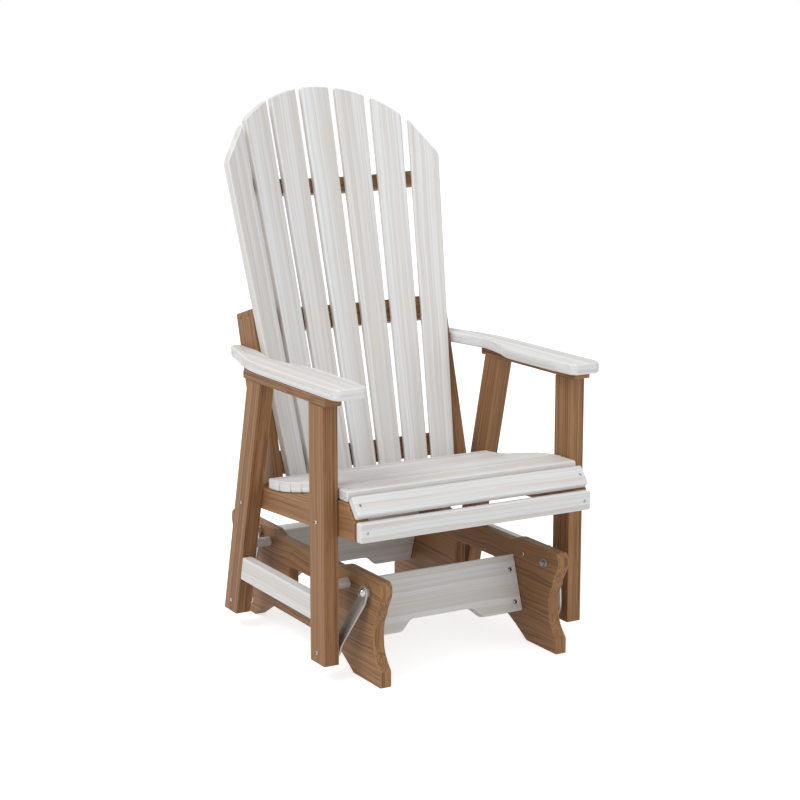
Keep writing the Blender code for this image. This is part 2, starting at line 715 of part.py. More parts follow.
def build_seat_slat(name, index, parent):
    """One seat slat, laid to the slope of the seat at its place."""
    top, slope = seat_point(seat_slat_middle(index))
    middle = top + SEAT_SLAT_BOARD / 2 * Vector((math.sin(slope), -math.cos(slope)))
    bm = eased(box(SEAT_REACH, SEAT_SLAT_WIDTH, SEAT_SLAT_BOARD), SEAT_SLAT_EDGE)
    add_piece(name, bm, white_lumber, parent, at(0, middle.x, middle.y, slope))


def build_nose_slat(name, parent):
    """The slat on the slanted nose of the stringers."""
    corner, along = nose_line()
    out = Vector((-along.y, along.x))
    middle = corner + (NOSE_SLAT_START + NOSE_SLAT_WIDTH / 2) * along + (SEAT_GAP + NOSE_SLAT_BOARD / 2) * out
    bm = eased(box(SEAT_REACH, NOSE_SLAT_WIDTH, NOSE_SLAT_BOARD), SEAT_SLAT_EDGE)
    add_piece(name, bm, white_lumber, parent, at(0, middle.x, middle.y, STRINGER_NOSE_SLOPE))


def build_apron(name, parent):
    """The upright board over the front ends of the stringers."""
    bm = eased(box(SEAT_REACH, APRON_BOARD, APRON_HEIGHT), SEAT_SLAT_EDGE)
    station = -STRINGER_LEAD - SEAT_GAP - APRON_BOARD / 2
    rise = STRINGER_FRONT_RISE - APRON_DROP + APRON_HEIGHT / 2
    add_piece(name, bm, white_lumber, parent, at(0, station, rise))


def slat_axis(index, height):
    """Point of a back slat's middle line on the hollow front surface, in the back's frame."""
    spread = index * (BACK_SPACING + BACK_FAN_SHARE * (height - BACK_SPACING_HEIGHT))
    turn = spread / BACK_RADIUS
    return Vector((BACK_RADIUS * math.sin(turn), -BACK_RADIUS * (1 - math.cos(turn)), height))


def slat_frame(index):
    """Foot of a back slat's front face and its directions across, up and forward."""
    foot = slat_axis(index, BACK_SLAT_BOTTOM)
    head = slat_axis(index, BACK_ARC_HEIGHT + BACK_ARC_RADIUS)
    reach = math.sqrt(BACK_ARC_RADIUS**2 - head.x**2)
    head = slat_axis(index, BACK_ARC_HEIGHT + reach)
    up = (head - foot).normalized()
    middle = (foot + head) / 2
    turn = math.atan2(middle.x, BACK_RADIUS + middle.y)
    forward = Vector((-math.sin(turn), -math.cos(turn), 0))
    forward = (forward - up * forward.dot(up)).normalized()
    return foot, up.cross(forward), up, forward


def arc_reach(index, across):
    """How far up a slat the round top of the back lies at a place across it."""
    foot, side, up, _ = slat_frame(index)
    x, z = foot.x + across * side.x, foot.z + across * side.z - BACK_ARC_HEIGHT
    a, b = up.x**2 + up.z**2, x * up.x + z * up.z
    c = x**2 + z**2 - BACK_ARC_RADIUS**2
    return (math.sqrt(b * b - a * c) - b) / a


def slat_half_width(reach):
    """Half the width of a back slat at a distance up it."""
    return (BACK_SLAT_WIDTH + BACK_TAPER_SHARE * reach) / 2


def slat_corner(index, side):
    """Place across a slat of the upper corner on one side."""
    across = side * slat_half_width(BACK_ARC_HEIGHT)
    for _ in range(4):
        across = side * slat_half_width(arc_reach(index, across))
    return across


def back_slat_outline(index):
    """Outline of a back slat as (across, up), its top on the arc and its foot level."""
    _, side, up, _ = slat_frame(index)
    foot = []
    for hand in (-1, 1):
        across = hand * slat_half_width(0)
        foot.append((across, -across * side.z / up.z))
    right, left = slat_corner(index, 1), slat_corner(index, -1)
    steps = 1 if abs(index) == BACK_SLATS_EACH_SIDE else BACK_ARC_STEPS
    places = [right + (left - right) * k / steps for k in range(steps + 1)]
    return foot + [(across, arc_reach(index, across)) for across in places]


def build_back_slat(name, index, parent):
    """One flat back slat of the fan."""
    foot, side, up, forward = slat_frame(index)
    start = foot - BACK_SLAT_BOARD * forward
    place = Matrix((side, up, forward)).transposed().to_4x4()
    place.translation = start
    bm = eased(prism(back_slat_outline(index), BACK_SLAT_BOARD), BACK_SLAT_EDGE)
    add_piece(name, bm, white_lumber, parent, place)


def slat_rear_line(index, height):
    """The line just behind a back slat at a height, as a point and a direction in (X, Y)."""
    foot, _, _, forward = slat_frame(index)
    behind = foot - (BACK_SLAT_BOARD + SEAT_GAP) * forward
    level = forward.dot(behind) - forward.z * height
    flat = Vector((forward.x, forward.y))
    return flat * level / flat.length_squared, Vector((-flat.y, flat.x)).normalized()


def slat_rear_edge(index, hand, low, high):
    """Place just behind one edge of a back slat, the outermost one between two heights."""
    foot, side, up, forward = slat_frame(index)
    behind = foot - (BACK_SLAT_BOARD + SEAT_GAP) * forward
    spots = []
    for height in (low, high):
        across = hand * slat_half_width((height - foot.z) / up.z)
        climb = (height - foot.z - across * side.z) / up.z
        spots.append(behind + across * side + climb * up)
    spot = max(spots, key=lambda place: hand * place.x)
    return spot.x, spot.y


def rail_end(hand, reach):
    """Front corner of a back rail's end, on the line of the outermost slat."""
    line = slat_rear_line(hand * BACK_SLATS_EACH_SIDE, BACK_SLAT_BOTTOM)
    return tuple(meet(line, (Vector((hand * reach, 0)), Vector((0, 1)))))


def behind_slats(low, high, reach):
    """Front edge of a back rail from -X to +X, just behind the slats between two heights."""
    last = BACK_SLATS_EACH_SIDE
    run = [slat_rear_edge(index, hand, low, high) for index in range(-last, last + 1) for hand in (-1, 1)]
    return [rail_end(-1, reach)] + run[1:-1] + [rail_end(1, reach)]


def post_front():
    """How far back the outer edge of a post's front face lies, in the back's frame."""
    line = slat_rear_line(BACK_SLATS_EACH_SIDE, POST_TOP)
    return meet(line, (Vector((POST_OUTER, 0)), Vector((0, 1)))).y


def build_back_rail(name, height, parent):
    """One board of the lower or middle rail, level across the back between the posts."""
    reach = POST_INNER - SEAT_GAP
    rear = post_front() + POST_DEPTH
    outline = behind_slats(height, height + BACK_RAIL_BOARD, reach) + [(reach, rear), (-reach, rear)]
    bm = eased(prism(outline, BACK_RAIL_BOARD), BACK_RAIL_EDGE)
    add_piece(name, bm, brown_lumber, parent, at(0, 0, height))


def build_upper_rail(name, parent):
    """The single upper rail, its rear edge slanted towards its ends."""
    front = behind_slats(UPPER_RAIL_HEIGHT, UPPER_RAIL_HEIGHT + UPPER_RAIL_BOARD, UPPER_RAIL_REACH)
    rear = [(x, y + UPPER_RAIL_DEPTH) for x, y in reversed(front)]
    bm = eased(prism(front + rear, UPPER_RAIL_BOARD), BACK_RAIL_EDGE)
    add_piece(name, bm, brown_lumber, parent, at(0, 0, UPPER_RAIL_HEIGHT))


def build_post(name, side, parent):
    """One back post, its front face slanted to lie on the outermost slat."""
    line = slat_rear_line(BACK_SLATS_EACH_SIDE, POST_TOP)
    rear = post_front() + POST_DEPTH
    front = [meet(line, (Vector((x, 0)), Vector((0, 1)))) for x in (POST_INNER, POST_OUTER)]
    outline = [(front[0].x, front[0].y), (front[1].x, front[1].y), (POST_OUTER, rear), (POST_INNER, rear)]
    outline = [(side * x, y) for x, y in (outline if side > 0 else reversed(outline))]
    bm = eased(prism(outline, POST_TOP - POST_BOTTOM), POST_EDGE)
    add_piece(name, bm, brown_lumber, parent, at(0, 0, POST_BOTTOM))


def build_base(base):
    """The standing part: sides, rails, stop rods and upper bolts."""
    for hand, side in SIDES:
        build_base_side(f"base_side_{hand}", side, base)
        build_stop_rod(f"stop_rod_front_{hand}", side, FRONT_ROD_STATION, FRONT_ROD_RISE, base)
        build_stop_rod(f"stop_rod_rear_{hand}", side, REAR_ROD_STATION, REAR_ROD_RISE, base)
        build_upper_bolt(f"upper_pivot_bolt_front_{hand}", side, front_pivots()[0], base)
        build_upper_bolt(f"upper_pivot_bolt_rear_{hand}", side, rear_pivots()[0], base)
    front = (FRONT_RAIL_HEIGHT, FRONT_RAIL_FOOT, FRONT_RAIL_RISE, BASE_RAIL_LEAN)
    rear = (REAR_RAIL_HEIGHT, REAR_RAIL_FOOT, REAR_RAIL_RISE, -BASE_RAIL_LEAN)
    build_base_rail("base_front_rail", *front, base)
    build_base_rail("base_rear_rail", *rear, base)


def build_hangers(root):
    """The four swinging bars, each pair under an empty on its axis."""
    for end, pivots, lean, closed in (
        ("front", front_pivots(), FRONT_HANGER_LEAN, True), ("rear", rear_pivots(), -REAR_HANGER_LEAN, False),
    ):
        upper = pivots[0]
        axis = add_empty(f"hanger_{end}_axis", root, (0, upper.x, upper.y))
        for hand, side in SIDES:
            build_hanger(f"hanger_{end}_{hand}", side, Vector((0, 0)), lean, closed, axis)


def build_frame(chair):
    """Legs, stretchers, arms, seat stringers and their bolts."""
    rear_pivot = rear_pivots()[1]
    bite = LEG_INNER - LEG_BOLT_BITE
    for hand, side in SIDES:
        build_front_leg(f"leg_front_{hand}", side, chair)
        build_rear_leg(f"leg_rear_{hand}", side, chair)
        build_stretcher(f"leg_stretcher_{hand}", side, chair)
        build_arm_support(f"arm_support_{hand}", side, chair)
        build_armrest(f"armrest_{hand}", side, chair)
        build_stringer(f"seat_stringer_{hand}", side, chair)
        build_front_lower_bolt(f"lower_pivot_bolt_front_{hand}", side, chair)
        build_leg_bolt(f"lower_pivot_bolt_rear_{hand}", side, rear_pivot.x, rear_pivot.y, LEG_INNER, chair)
        build_leg_bolt(f"leg_bolt_front_{hand}", side, LEG_DEPTH / 2, SEAT_BOLT_RISE, bite, chair)
        station = rear_leg_middle(REAR_BOLT_RISE)
        build_leg_bolt(f"leg_bolt_rear_{hand}", side, station, REAR_BOLT_RISE, bite, chair)


def build_seat(chair):
    """Seat slats, nose slat and apron."""
    for index in range(SEAT_SLATS):
        build_seat_slat(f"seat_slat_{index + 1}", index, chair)
    build_nose_slat("seat_nose_slat", chair)
    build_apron("seat_apron", chair)


def build_back(chair):
    """The leaning back: slats, rails and posts in one leaned frame."""
    back = add_empty("back_frame", chair, (0, BACK_FOOT, 0), (-BACK_LEAN, 0, 0))
    last = BACK_SLATS_EACH_SIDE
    for index in range(-last, last + 1):
        build_back_slat(f"back_slat_{index + last + 1}", index, back)
    for label, height in (("lower", LOWER_RAIL_HEIGHT), ("middle", MIDDLE_RAIL_HEIGHT)):
        build_back_rail(f"back_rail_{label}_bottom", height, back)
        build_back_rail(f"back_rail_{label}_top", height + BACK_RAIL_BOARD + SEAT_GAP, back)
    build_upper_rail("back_rail_upper", back)
    for hand, side in SIDES:
        build_post(f"back_post_{hand}", side, back)


def centre_over_origin(root):
    """Shift the whole glider along Y so that its bounding box is centred."""
    bpy.context.view_layer.update()
    stations = []
    for thing in bpy.data.objects:
        if thing.type == "MESH" and not thing.hide_render:
            stations += [(thing.matrix_world @ point.co).y for point in thing.data.vertices]
    root.location.y -= (min(stations) + max(stations)) / 2


def build_chair(root):
    """Everything that hangs, under an empty on the front lower pivot."""
    pivot = front_pivots()[1]
    axis = add_empty("chair_axis", root, (0, pivot.x, pivot.y))
    chair = add_empty("chair_stations", axis, (0, -pivot.x, -pivot.y))
    build_frame(chair)
    build_seat(chair)
    build_back(chair)


def main():
    """Build the whole glider."""
    clear_scene()
    root = add_empty("glider")
    build_base(root)
    build_hangers(root)
    build_chair(root)
    centre_over_origin(root)


main()
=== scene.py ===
"""Looks of the garden glider: streaked lumber boards, turned fasteners, soft studio light and camera.

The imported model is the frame. Every piece made here takes its place from it, in metres, and rides
on one of its bodies. Left and right are the viewer's when the front is faced, as in the frame.
"""

import logging
import math
import random
from dataclasses import dataclass, field
from enum import Enum, IntEnum
from typing import Any, Iterable

import bmesh
import bpy
from bmesh.types import BMesh, BMVert
from bpy.types import Material, Node, NodeSocket, NodeTree, Object
from mathutils import Matrix, Vector
from mathutils.bvhtree import BVHTree


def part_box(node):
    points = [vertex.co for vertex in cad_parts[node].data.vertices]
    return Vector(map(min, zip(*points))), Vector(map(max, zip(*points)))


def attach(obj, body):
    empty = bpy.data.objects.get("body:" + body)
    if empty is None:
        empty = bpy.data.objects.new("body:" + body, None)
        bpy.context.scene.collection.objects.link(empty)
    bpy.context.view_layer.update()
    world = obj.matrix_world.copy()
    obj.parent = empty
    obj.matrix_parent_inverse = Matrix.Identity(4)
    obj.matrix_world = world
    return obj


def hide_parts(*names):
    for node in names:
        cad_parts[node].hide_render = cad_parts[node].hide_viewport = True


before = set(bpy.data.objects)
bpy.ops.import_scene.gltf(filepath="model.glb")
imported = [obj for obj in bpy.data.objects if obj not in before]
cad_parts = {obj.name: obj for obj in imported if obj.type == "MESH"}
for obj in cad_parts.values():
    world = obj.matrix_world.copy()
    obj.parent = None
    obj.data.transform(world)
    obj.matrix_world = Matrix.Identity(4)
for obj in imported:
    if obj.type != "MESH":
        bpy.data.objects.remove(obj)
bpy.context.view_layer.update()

Pair = tuple[float, float]
Point = tuple[float, float, float]
Colour = tuple[float, float, float, float]
Profile = list[Pair]

LOG = logging.getLogger("glider")
MILLIMETRE = 0.001
SAME_POINT = 0.01 * MILLIMETRE
ROUND_STEPS = 40
QUARTER_TURN = math.pi / 2
ENDS = ("front", "rear")


class Side(IntEnum):
    """The viewer's left and right, as the sign of X."""

    LEFT = -1
    RIGHT = 1

    @property
    def hand(self) -> str:
        """The side's word in the names of pieces."""
        return self.name.lower()

    @property
    def inward(self) -> Vector:
        """The direction from this side to the middle plane."""
        return Vector((-self, 0, 0))

    def span(self, node: str) -> Pair:
        """The nearest and the farthest distance of a CAD node of this side from the middle plane."""
        low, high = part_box(node)
        return (low.x, high.x) if self > 0 else (-high.x, -low.x)

    def place(self, middle: Vector, lean: float = 0.0) -> Matrix:
        """A place on the middle plane whose local +X looks to this side.

        Args:
            middle: A point at its height and depth.
            lean: Turn about the row's X axis.

        Returns:
            The placing matrix.
        """
        upright = Matrix.Translation((0, middle.y, middle.z)) @ Matrix.Rotation(lean, 4, "X")
        return upright @ Matrix.Rotation(math.pi if self < 0 else 0, 4, "Z")


class Body(str, Enum):
    """The moving bodies of the frame."""

    BASE = "base"
    FRONT_HANGERS = "front_hangers"
    REAR_HANGERS = "rear_hangers"
    CHAIR = "chair"


# ---- Finishes ----


def linear(colour: str) -> Colour:
    """Turn an sRGB hex colour to linear.

    Args:
        colour: Six hex digits after a hash sign.

    Returns:
        Linear red, green and blue, and an alpha of one.
    """
    shares = [int(colour[i : i + 2], 16) / 255 for i in (1, 3, 5)]
    values = [s / 12.92 if s <= 0.04045 else ((s + 0.055) / 1.055) ** 2.4 for s in shares]
    return (values[0], values[1], values[2], 1.0)


def feed(node: Node, inputs: dict[str | int, Any]) -> None:
    """Fill a node's sockets.

    Args:
        node: The node.
        inputs: For each input, by name or place, a constant or the output linked to it.
    """
    for key, value in inputs.items():
        if isinstance(value, NodeSocket):
            node.id_data.links.new(value, node.inputs[key])
        else:
            node.inputs[key].default_value = value


def add_node(
    tree: NodeTree, kind: str, inputs: dict[str | int, Any] | None = None, **settings: Any,
) -> Node:
    """Add one node with its settings and what goes into its sockets.

    Args:
        tree: The node tree that gets the node.
        kind: Blender's identifier of the node.
        inputs: What goes into its sockets, as feed takes it.
        **settings: Values of the node's own properties.

    Returns:
        The new node.
    """
    node = tree.nodes.new(kind)
    for name, value in settings.items():
        setattr(node, name, value)
    feed(node, inputs or {})
    return node


def new_material(name: str) -> tuple[Material, Node]:
    """Make a material with only an output and a Principled shader.

    Args:
        name: The material's name.

    Returns:
        The material and its shader node.
    """
    made = bpy.data.materials.new(name)
    made.use_nodes = True
    return made, made.node_tree.nodes["Principled BSDF"]


@dataclass(frozen=True)
class Grain:
    """A noise drawn out along a board, in cells of a real size."""

    length: float  # Length of a cell along the grain
    width: float  # Its width across the grain
    window: Pair = (0.0, 1.0)  # Noise values that become 0 and 1
    detail: float = 2.0  # Octaves of the noise
    roughness: float = 0.55  # How strong each octave is against the one before

    def cells(self, tree: NodeTree, place: NodeSocket) -> NodeSocket:
        """Measure board coordinates in cells.

        Args:
            tree: The material's nodes.
            place: Output that gives the board coordinates, in metres.

        Returns:
            The output with the coordinates in cells.
        """
        scale = (1 / self.length, 1 / self.width, 1 / self.width)
        node = add_node(tree, "ShaderNodeVectorMath", {0: place, 1: scale}, operation="MULTIPLY")
        return node.outputs[0]

    def build(self, tree: NodeTree, place: NodeSocket) -> NodeSocket:
        """Add the pattern.

        Args:
            tree: The material's nodes.
            place: Output that gives the board coordinates.

        Returns:
            The output with the pattern, from 0 to 1 within its window.
        """
        noise = add_node(
            tree, "ShaderNodeTexNoise",
            {"Vector": self.cells(tree, place), "Scale": 1.0, "Detail": self.detail,
             "Roughness": self.roughness},
        )
        ramp = add_node(
            tree, "ShaderNodeMapRange",
            {"Value": noise.outputs[0], "From Min": self.window[0], "From Max": self.window[1]},
            interpolation_type="SMOOTHSTEP",
        )
        return ramp.outputs[0]


@dataclass(frozen=True)
class LumberFinish:
    """Board of recycled polyethylene, streaked in the melt, extruded and brushed.

    The streaks run the whole length of a board like grain, a few millimetres wide, with broader
    soft bands under them. The skin is waxy and dull, with a fine brushed texture along the
    board. The machine-rounded edges are painted paler, partly as rubbing and partly as a painted
    highlight along each rounded edge. The brush marks are drawn coarser than real ones, so that
    they can show.
    """

    name: str
    slot: str  # The record's material slot that it stands for
    ground: str  # Colour of most of the board
    band: tuple[str, float]  # Colour of the broad soft bands and the share of it that they reach
    streak: tuple[str, float]  # Colour and share of the narrow streaks
    line: tuple[str, float]  # Colour and share of the thinnest, darkest lines
    worn: tuple[str, float]  # Colour and share of the paler rounded edges: partly rubbing, partly a painted highlight
    tone_share: float  # How far the boards with the most band colour lean towards it
    specular: float  # Strength of the sheen
    roughness: Pair = (0.46, 0.60)  # Lowest and highest roughness
    ior: float = 1.54  # Index of refraction of polyethylene
    drift: Grain = Grain(0.20, 0.060)  # Cells in which the streaks wander
    drift_sideways: float = 0.016  # How far they wander across the board's face
    drift_inwards: float = 0.002  # How far they wander through its thickness
    bands: Grain = Grain(1.80, 0.014, (0.40, 0.62))
    streaks: Grain = Grain(0.80, 0.0040, (0.48, 0.68))
    lines: Grain = Grain(0.70, 0.0022, (0.54, 0.72), 1.0)
    brush: Grain = Grain(0.035, 0.0007, (0.30, 0.70), 1.0)
    ridge_share: float = 0.6  # Height of the streaks against the brushed texture
    # Height and strength of the relief that both make
    relief: Pair = (0.12 * MILLIMETRE, 0.35)

    def drifted(self, tree: NodeTree, place: NodeSocket, figure: NodeSocket) -> NodeSocket:
        """Let the board coordinates wander, as the melt did while the board was pulled.

        Args:
            tree: The material's nodes.
            place: Output that gives the board coordinates.
            figure: Output that says how far this board's streaks wander, from 0 to 1.

        Returns:
            The output with the coordinates that the streaks follow.
        """
        noise = add_node(
            tree, "ShaderNodeTexNoise",
            {"Vector": self.drift.cells(tree, place), "Scale": 1.0, "Detail": 1.0},
        )
        centred = add_node(
            tree, "ShaderNodeVectorMath",
            {0: noise.outputs["Color"], 1: (0.5, 0.5, 0.5)}, operation="SUBTRACT",
        )
        reach = (0.0, self.drift_sideways * 2, self.drift_inwards * 2)
        widest = add_node(
            tree, "ShaderNodeVectorMath", {0: centred.outputs[0], 1: reach}, operation="MULTIPLY",
        )
        offset = add_node(
            tree, "ShaderNodeVectorMath", {0: widest.outputs[0], "Scale": figure}, operation="SCALE",
        )
        moved = add_node(tree, "ShaderNodeVectorMath", {0: offset.outputs[0], 1: place}, operation="ADD")
        return moved.outputs[0]

    def tint(
        self, tree: NodeTree, below: NodeSocket | Colour, above: str, share: NodeSocket, most: float,
    ) -> NodeSocket:
        """Lay one colour over another.

        Args:
            tree: The material's nodes.
            below: Output or linear colour underneath.
            above: Hex colour on top.
            share: Output from 0 to 1 that says where the top colour lies.
            most: Share of the top colour where that output is 1.

        Returns:
            The output with the mixed colour.
        """
        part = add_node(tree, "ShaderNodeMath", {0: share, 1: most}, operation="MULTIPLY")
        mixed = add_node(
            tree, "ShaderNodeMix",
            {0: part.outputs[0], 6: below, 7: linear(above)}, data_type="RGBA",
        )
        return mixed.outputs[2]

    def build(self) -> Material:
        """Make the lumber from the attributes that every board carries.

        Returns:
            The material.
        """
        made, shader = new_material(self.name)
        tree = made.node_tree
        place = add_node(tree, "ShaderNodeAttribute", attribute_name="board").outputs["Vector"]
        rim, tone, figure = (
            add_node(tree, "ShaderNodeAttribute", attribute_name=name).outputs["Fac"]
            for name in ("rim", "tone", "figure")
        )
        drifted = self.drifted(tree, place, figure)
        streaks = self.streaks.build(tree, drifted)
        brush = self.brush.build(tree, place)

        colour: NodeSocket | Colour = linear(self.ground)
        for share, (above, most) in (
            (tone, (self.band[0], self.tone_share)),
            (self.bands.build(tree, drifted), self.band),
            (streaks, self.streak),
            (self.lines.build(tree, drifted), self.line),
            # Rounded edges go paler: partly rubbed, partly a painted highlight
            (rim, self.worn),
        ):
            colour = self.tint(tree, colour, above, share, most)
        dull = add_node(
            tree, "ShaderNodeMapRange",
            {"Value": brush, "To Min": self.roughness[0], "To Max": self.roughness[1]},
        )
        ridges = add_node(
            tree, "ShaderNodeMath",
            {0: streaks, 1: self.ridge_share, 2: brush}, operation="MULTIPLY_ADD",
        )
        bump = add_node(
            tree, "ShaderNodeBump",
            {"Height": ridges.outputs[0], "Distance": self.relief[0], "Strength": self.relief[1]},
        )
        feed(shader, {
            "Base Color": colour, "Roughness": dull.outputs[0], "IOR": self.ior,
            "Specular IOR Level": self.specular, "Normal": bump.outputs[0],
        })
        return made


@dataclass(frozen=True)
class SteelFinish:
    """Stainless steel, cold-formed, then tumbled bright or blasted to a satin.

    Grey and softly bright, with fine rub marks a millimetre or two long and darker patches: faint ones
    where the forming die pressed, and on the tumbled finish deeper ones that are a painted darker
    reflection, so highlights break up rather than mirror.
    """

    name: str
    bright: str  # Colour of its rubbed parts
    dark: str  # Colour of its duller patches; on the tumbled finish so deep that it is a painted darker reflection
    roughness: Pair  # Lowest and highest roughness
    slot: str = "stainless"  # The record's material slot that it stands for
    patch_size: float = 0.009
    mark_size: float = 0.0012  # Coarser than real marks, so that they can show
    # Noise values of the marks that become the lowest and highest roughness
    window: Pair = (0.3, 0.7)
    relief: Pair = (0.05 * MILLIMETRE, 0.2)  # Height and strength of the marks' relief

    def build(self) -> Material:
        """Make the steel from two noises on the object's own coordinates.

        Returns:
            The material.
        """
        made, shader = new_material(self.name)
        tree = made.node_tree
        place = add_node(tree, "ShaderNodeTexCoord").outputs["Object"]
        patch, mark = (
            add_node(tree, "ShaderNodeTexNoise", {"Vector": place, "Scale": 1 / size, "Detail": detail})
            for size, detail in ((self.patch_size, 3.0), (self.mark_size, 2.0))
        )
        # The patch noise mixes in the duller colour: die patches, and on the tumbled finish a painted
        # darker reflection
        mixed = add_node(
            tree, "ShaderNodeMix",
            {0: patch.outputs[0], 6: linear(self.bright), 7: linear(self.dark)}, data_type="RGBA",
        )
        dull = add_node(
            tree, "ShaderNodeMapRange",
            {"Value": mark.outputs[0], "From Min": self.window[0], "From Max": self.window[1],
             "To Min": self.roughness[0], "To Max": self.roughness[1]},
        )
        bump = add_node(
            tree, "ShaderNodeBump",
            {"Height": mark.outputs[0], "Distance": self.relief[0], "Strength": self.relief[1]},
        )
        feed(shader, {
            "Base Color": mixed.outputs[2], "Metallic": 1.0, "Roughness": dull.outputs[0],
            "Normal": bump.outputs[0],
        })
        return made


@dataclass(frozen=True)
class PaperFinish:
    """Seamless white studio paper, unprinted: matt, and lifted to white for the camera."""

    name: str = "white_studio_paper"
    colour: str = "#e6e6e6"
    roughness: float = 0.95
    lift: float = 0.66  # Strength of the glow that makes it white to camera and mirror rays
    fibre_size: float = 0.004  # Far coarser than real fibres, so that they can show
    relief: Pair = (0.05 * MILLIMETRE, 0.05)  # Height and strength of their relief

    def build(self) -> Material:
        """Make the paper, with a glow that only camera and mirror rays see.

        Returns:
            The material.
        """
        made, shader = new_material(self.name)
        tree = made.node_tree
        place = add_node(tree, "ShaderNodeTexCoord").outputs["Object"]
        fibre = add_node(
            tree, "ShaderNodeTexNoise", {"Vector": place, "Scale": 1 / self.fibre_size, "Detail": 2.0},
        )
        bump = add_node(
            tree, "ShaderNodeBump",
            {"Height": fibre.outputs[0], "Distance": self.relief[0], "Strength": self.relief[1]},
        )
        path = add_node(tree, "ShaderNodeLightPath")
        seen = add_node(
            tree, "ShaderNodeMath",
            {0: path.outputs["Is Camera Ray"], 1: path.outputs["Is Glossy Ray"]}, operation="MAXIMUM",
        )
        glow = add_node(tree, "ShaderNodeMath", {0: seen.outputs[0], 1: self.lift}, operation="MULTIPLY")
        feed(shader, {
            "Base Color": linear(self.colour), "Roughness": self.roughness, "Normal": bump.outputs[0],
            "Emission Color": (1, 1, 1, 1), "Emission Strength": glow.outputs[0],
        })
        return made


class Finish(Enum):
    """What a piece is finished in."""

    # A cool white ground with warm grey streaks that hardly darken it
    WHITE = LumberFinish(
        name="polyethylene_lumber_white", slot="white_lumber", ground="#e7e8e9",
        band=("#d7d2cc", 0.85), streak=("#c9c5c1", 0.40), line=("#a8a4a0", 0.20),
        # Paler rounded edges: partly rubbing, partly a painted highlight
        worn=("#ededed", 0.60), tone_share=0.25, specular=0.4,
    )
    # A cedar ground with dark streaks and lines that stand out like grain
    BROWN = LumberFinish(
        name="polyethylene_lumber_brown", slot="brown_lumber", ground="#a67d55",
        band=("#8e6644", 0.80), streak=("#6b4930", 0.80), line=("#402b1d", 0.50),
        # Paler rounded edges: partly rubbing, partly a painted highlight
        worn=("#ae8760", 0.45), tone_share=0.5, specular=0.22,
    )
    # Tumbled bolts and screws: bright, with soft but clear reflections; their deep grey patches are a
    # painted darker reflection
    BRIGHT_STEEL = SteelFinish(
        name="stainless_steel_tumbled", bright="#cdcdcc", dark="#6f7073", roughness=(0.12, 0.26),
    )
    # Blasted hanger bars: even and dull, with no clear reflection
    SATIN_STEEL = SteelFinish(
        name="stainless_steel_satin", bright="#c9c5c0", dark="#aba8a4", roughness=(0.42, 0.56),
    )

    def material(self) -> Material:
        """The finish's material, made at its first use."""
        return bpy.data.materials.get(self.value.name) or self.value.build()


# ---- Meshes ----


def turned(profile: Iterable[Pair], steps: int = 32) -> BMesh:
    """Turn a profile about local X.

    Args:
        profile: Places along X and radii, from the axis back to the axis.
        steps: Faces around the axis.

    Returns:
        The closed solid of revolution.
    """
    bm = bmesh.new()
    points = [bm.verts.new((along, 0, radius)) for along, radius in profile]
    edges = [bm.edges.new(pair) for pair in zip(points, points[1:])]
    bmesh.ops.spin(
        bm, geom=points + edges, cent=(0, 0, 0), axis=(1, 0, 0), angle=2 * math.pi, steps=steps,
        use_merge=True,
    )
    bmesh.ops.remove_doubles(bm, verts=bm.verts[:], dist=SAME_POINT)
    bmesh.ops.recalc_face_normals(bm, faces=bm.faces[:])
    return bm


def dome(start: float, radius: float, height: float, steps: int = 6) -> Profile:
    """Profile of a dome that ends on the axis.

    Args:
        start: Place of its rim along X.
        radius: Radius of its rim.
        height: How far it rises; below zero towards -X.
        steps: Facets from rim to axis.

    Returns:
        The profile's points, rim first.
    """
    angles = [QUARTER_TURN * k / steps for k in range(steps)]
    points = [(start + height * math.sin(a), radius * math.cos(a)) for a in angles]
    return points + [(start + height, 0.0)]


def rounded(start: float, end: float, radius: float, edge: float, steps: int = 3) -> Profile:
    """Profile of a disc or ring blank with rounded rims, from axis to axis.

    Args:
        start: Place of its first face along X.
        end: Place of its last face.
        radius: Its radius.
        edge: Radius of its rounded rims.
        steps: Facets of each rim.

    Returns:
        The profile's points.
    """
    turn = [QUARTER_TURN * k / steps for k in range(steps + 1)]
    rim = [(edge * (1 - math.sin(a)), radius - edge * (1 - math.cos(a))) for a in turn]
    low = [(start + inward, height) for inward, height in reversed(rim)]
    high = [(end - inward, height) for inward, height in rim]
    return [(start, 0.0)] + low + high + [(end, 0.0)]


def hex_nut(start: float, radius: float, height: float, edge: float = 0.0005) -> BMesh:
    """A hex nut that reaches from a place along X towards -X.

    Args:
        start: Place of its seat.
        radius: Distance of its corners from the axis.
        height: Its height.
        edge: Radius of its rounded edges.

    Returns:
        The nut.
    """
    bm = bmesh.new()
    bmesh.ops.create_cone(bm, cap_ends=True, segments=6, radius1=radius, radius2=radius, depth=height)
    bmesh.ops.bevel(
        bm, geom=bm.edges[:], offset=edge, offset_type="OFFSET", segments=2, profile=0.5,
        affect="EDGES", clamp_overlap=True, material=-1,
    )
    lay = Matrix.Translation((start - height / 2, 0, 0)) @ Matrix.Rotation(QUARTER_TURN, 4, "Y")
    bmesh.ops.transform(bm, matrix=lay, verts=bm.verts[:])
    return bm


def merge_into(target: BMesh, part: BMesh, place: Matrix = Matrix.Identity(4)) -> None:
    """Copy a mesh into another at a place.

    Args:
        target: The mesh that grows.
        part: The mesh that is copied and then freed.
        place: Where it goes.
    """
    bmesh.ops.transform(part, matrix=place, verts=part.verts[:])
    held = bpy.data.meshes.new("held")
    part.to_mesh(held)
    part.free()
    target.from_mesh(held)
    bpy.data.meshes.remove(held)


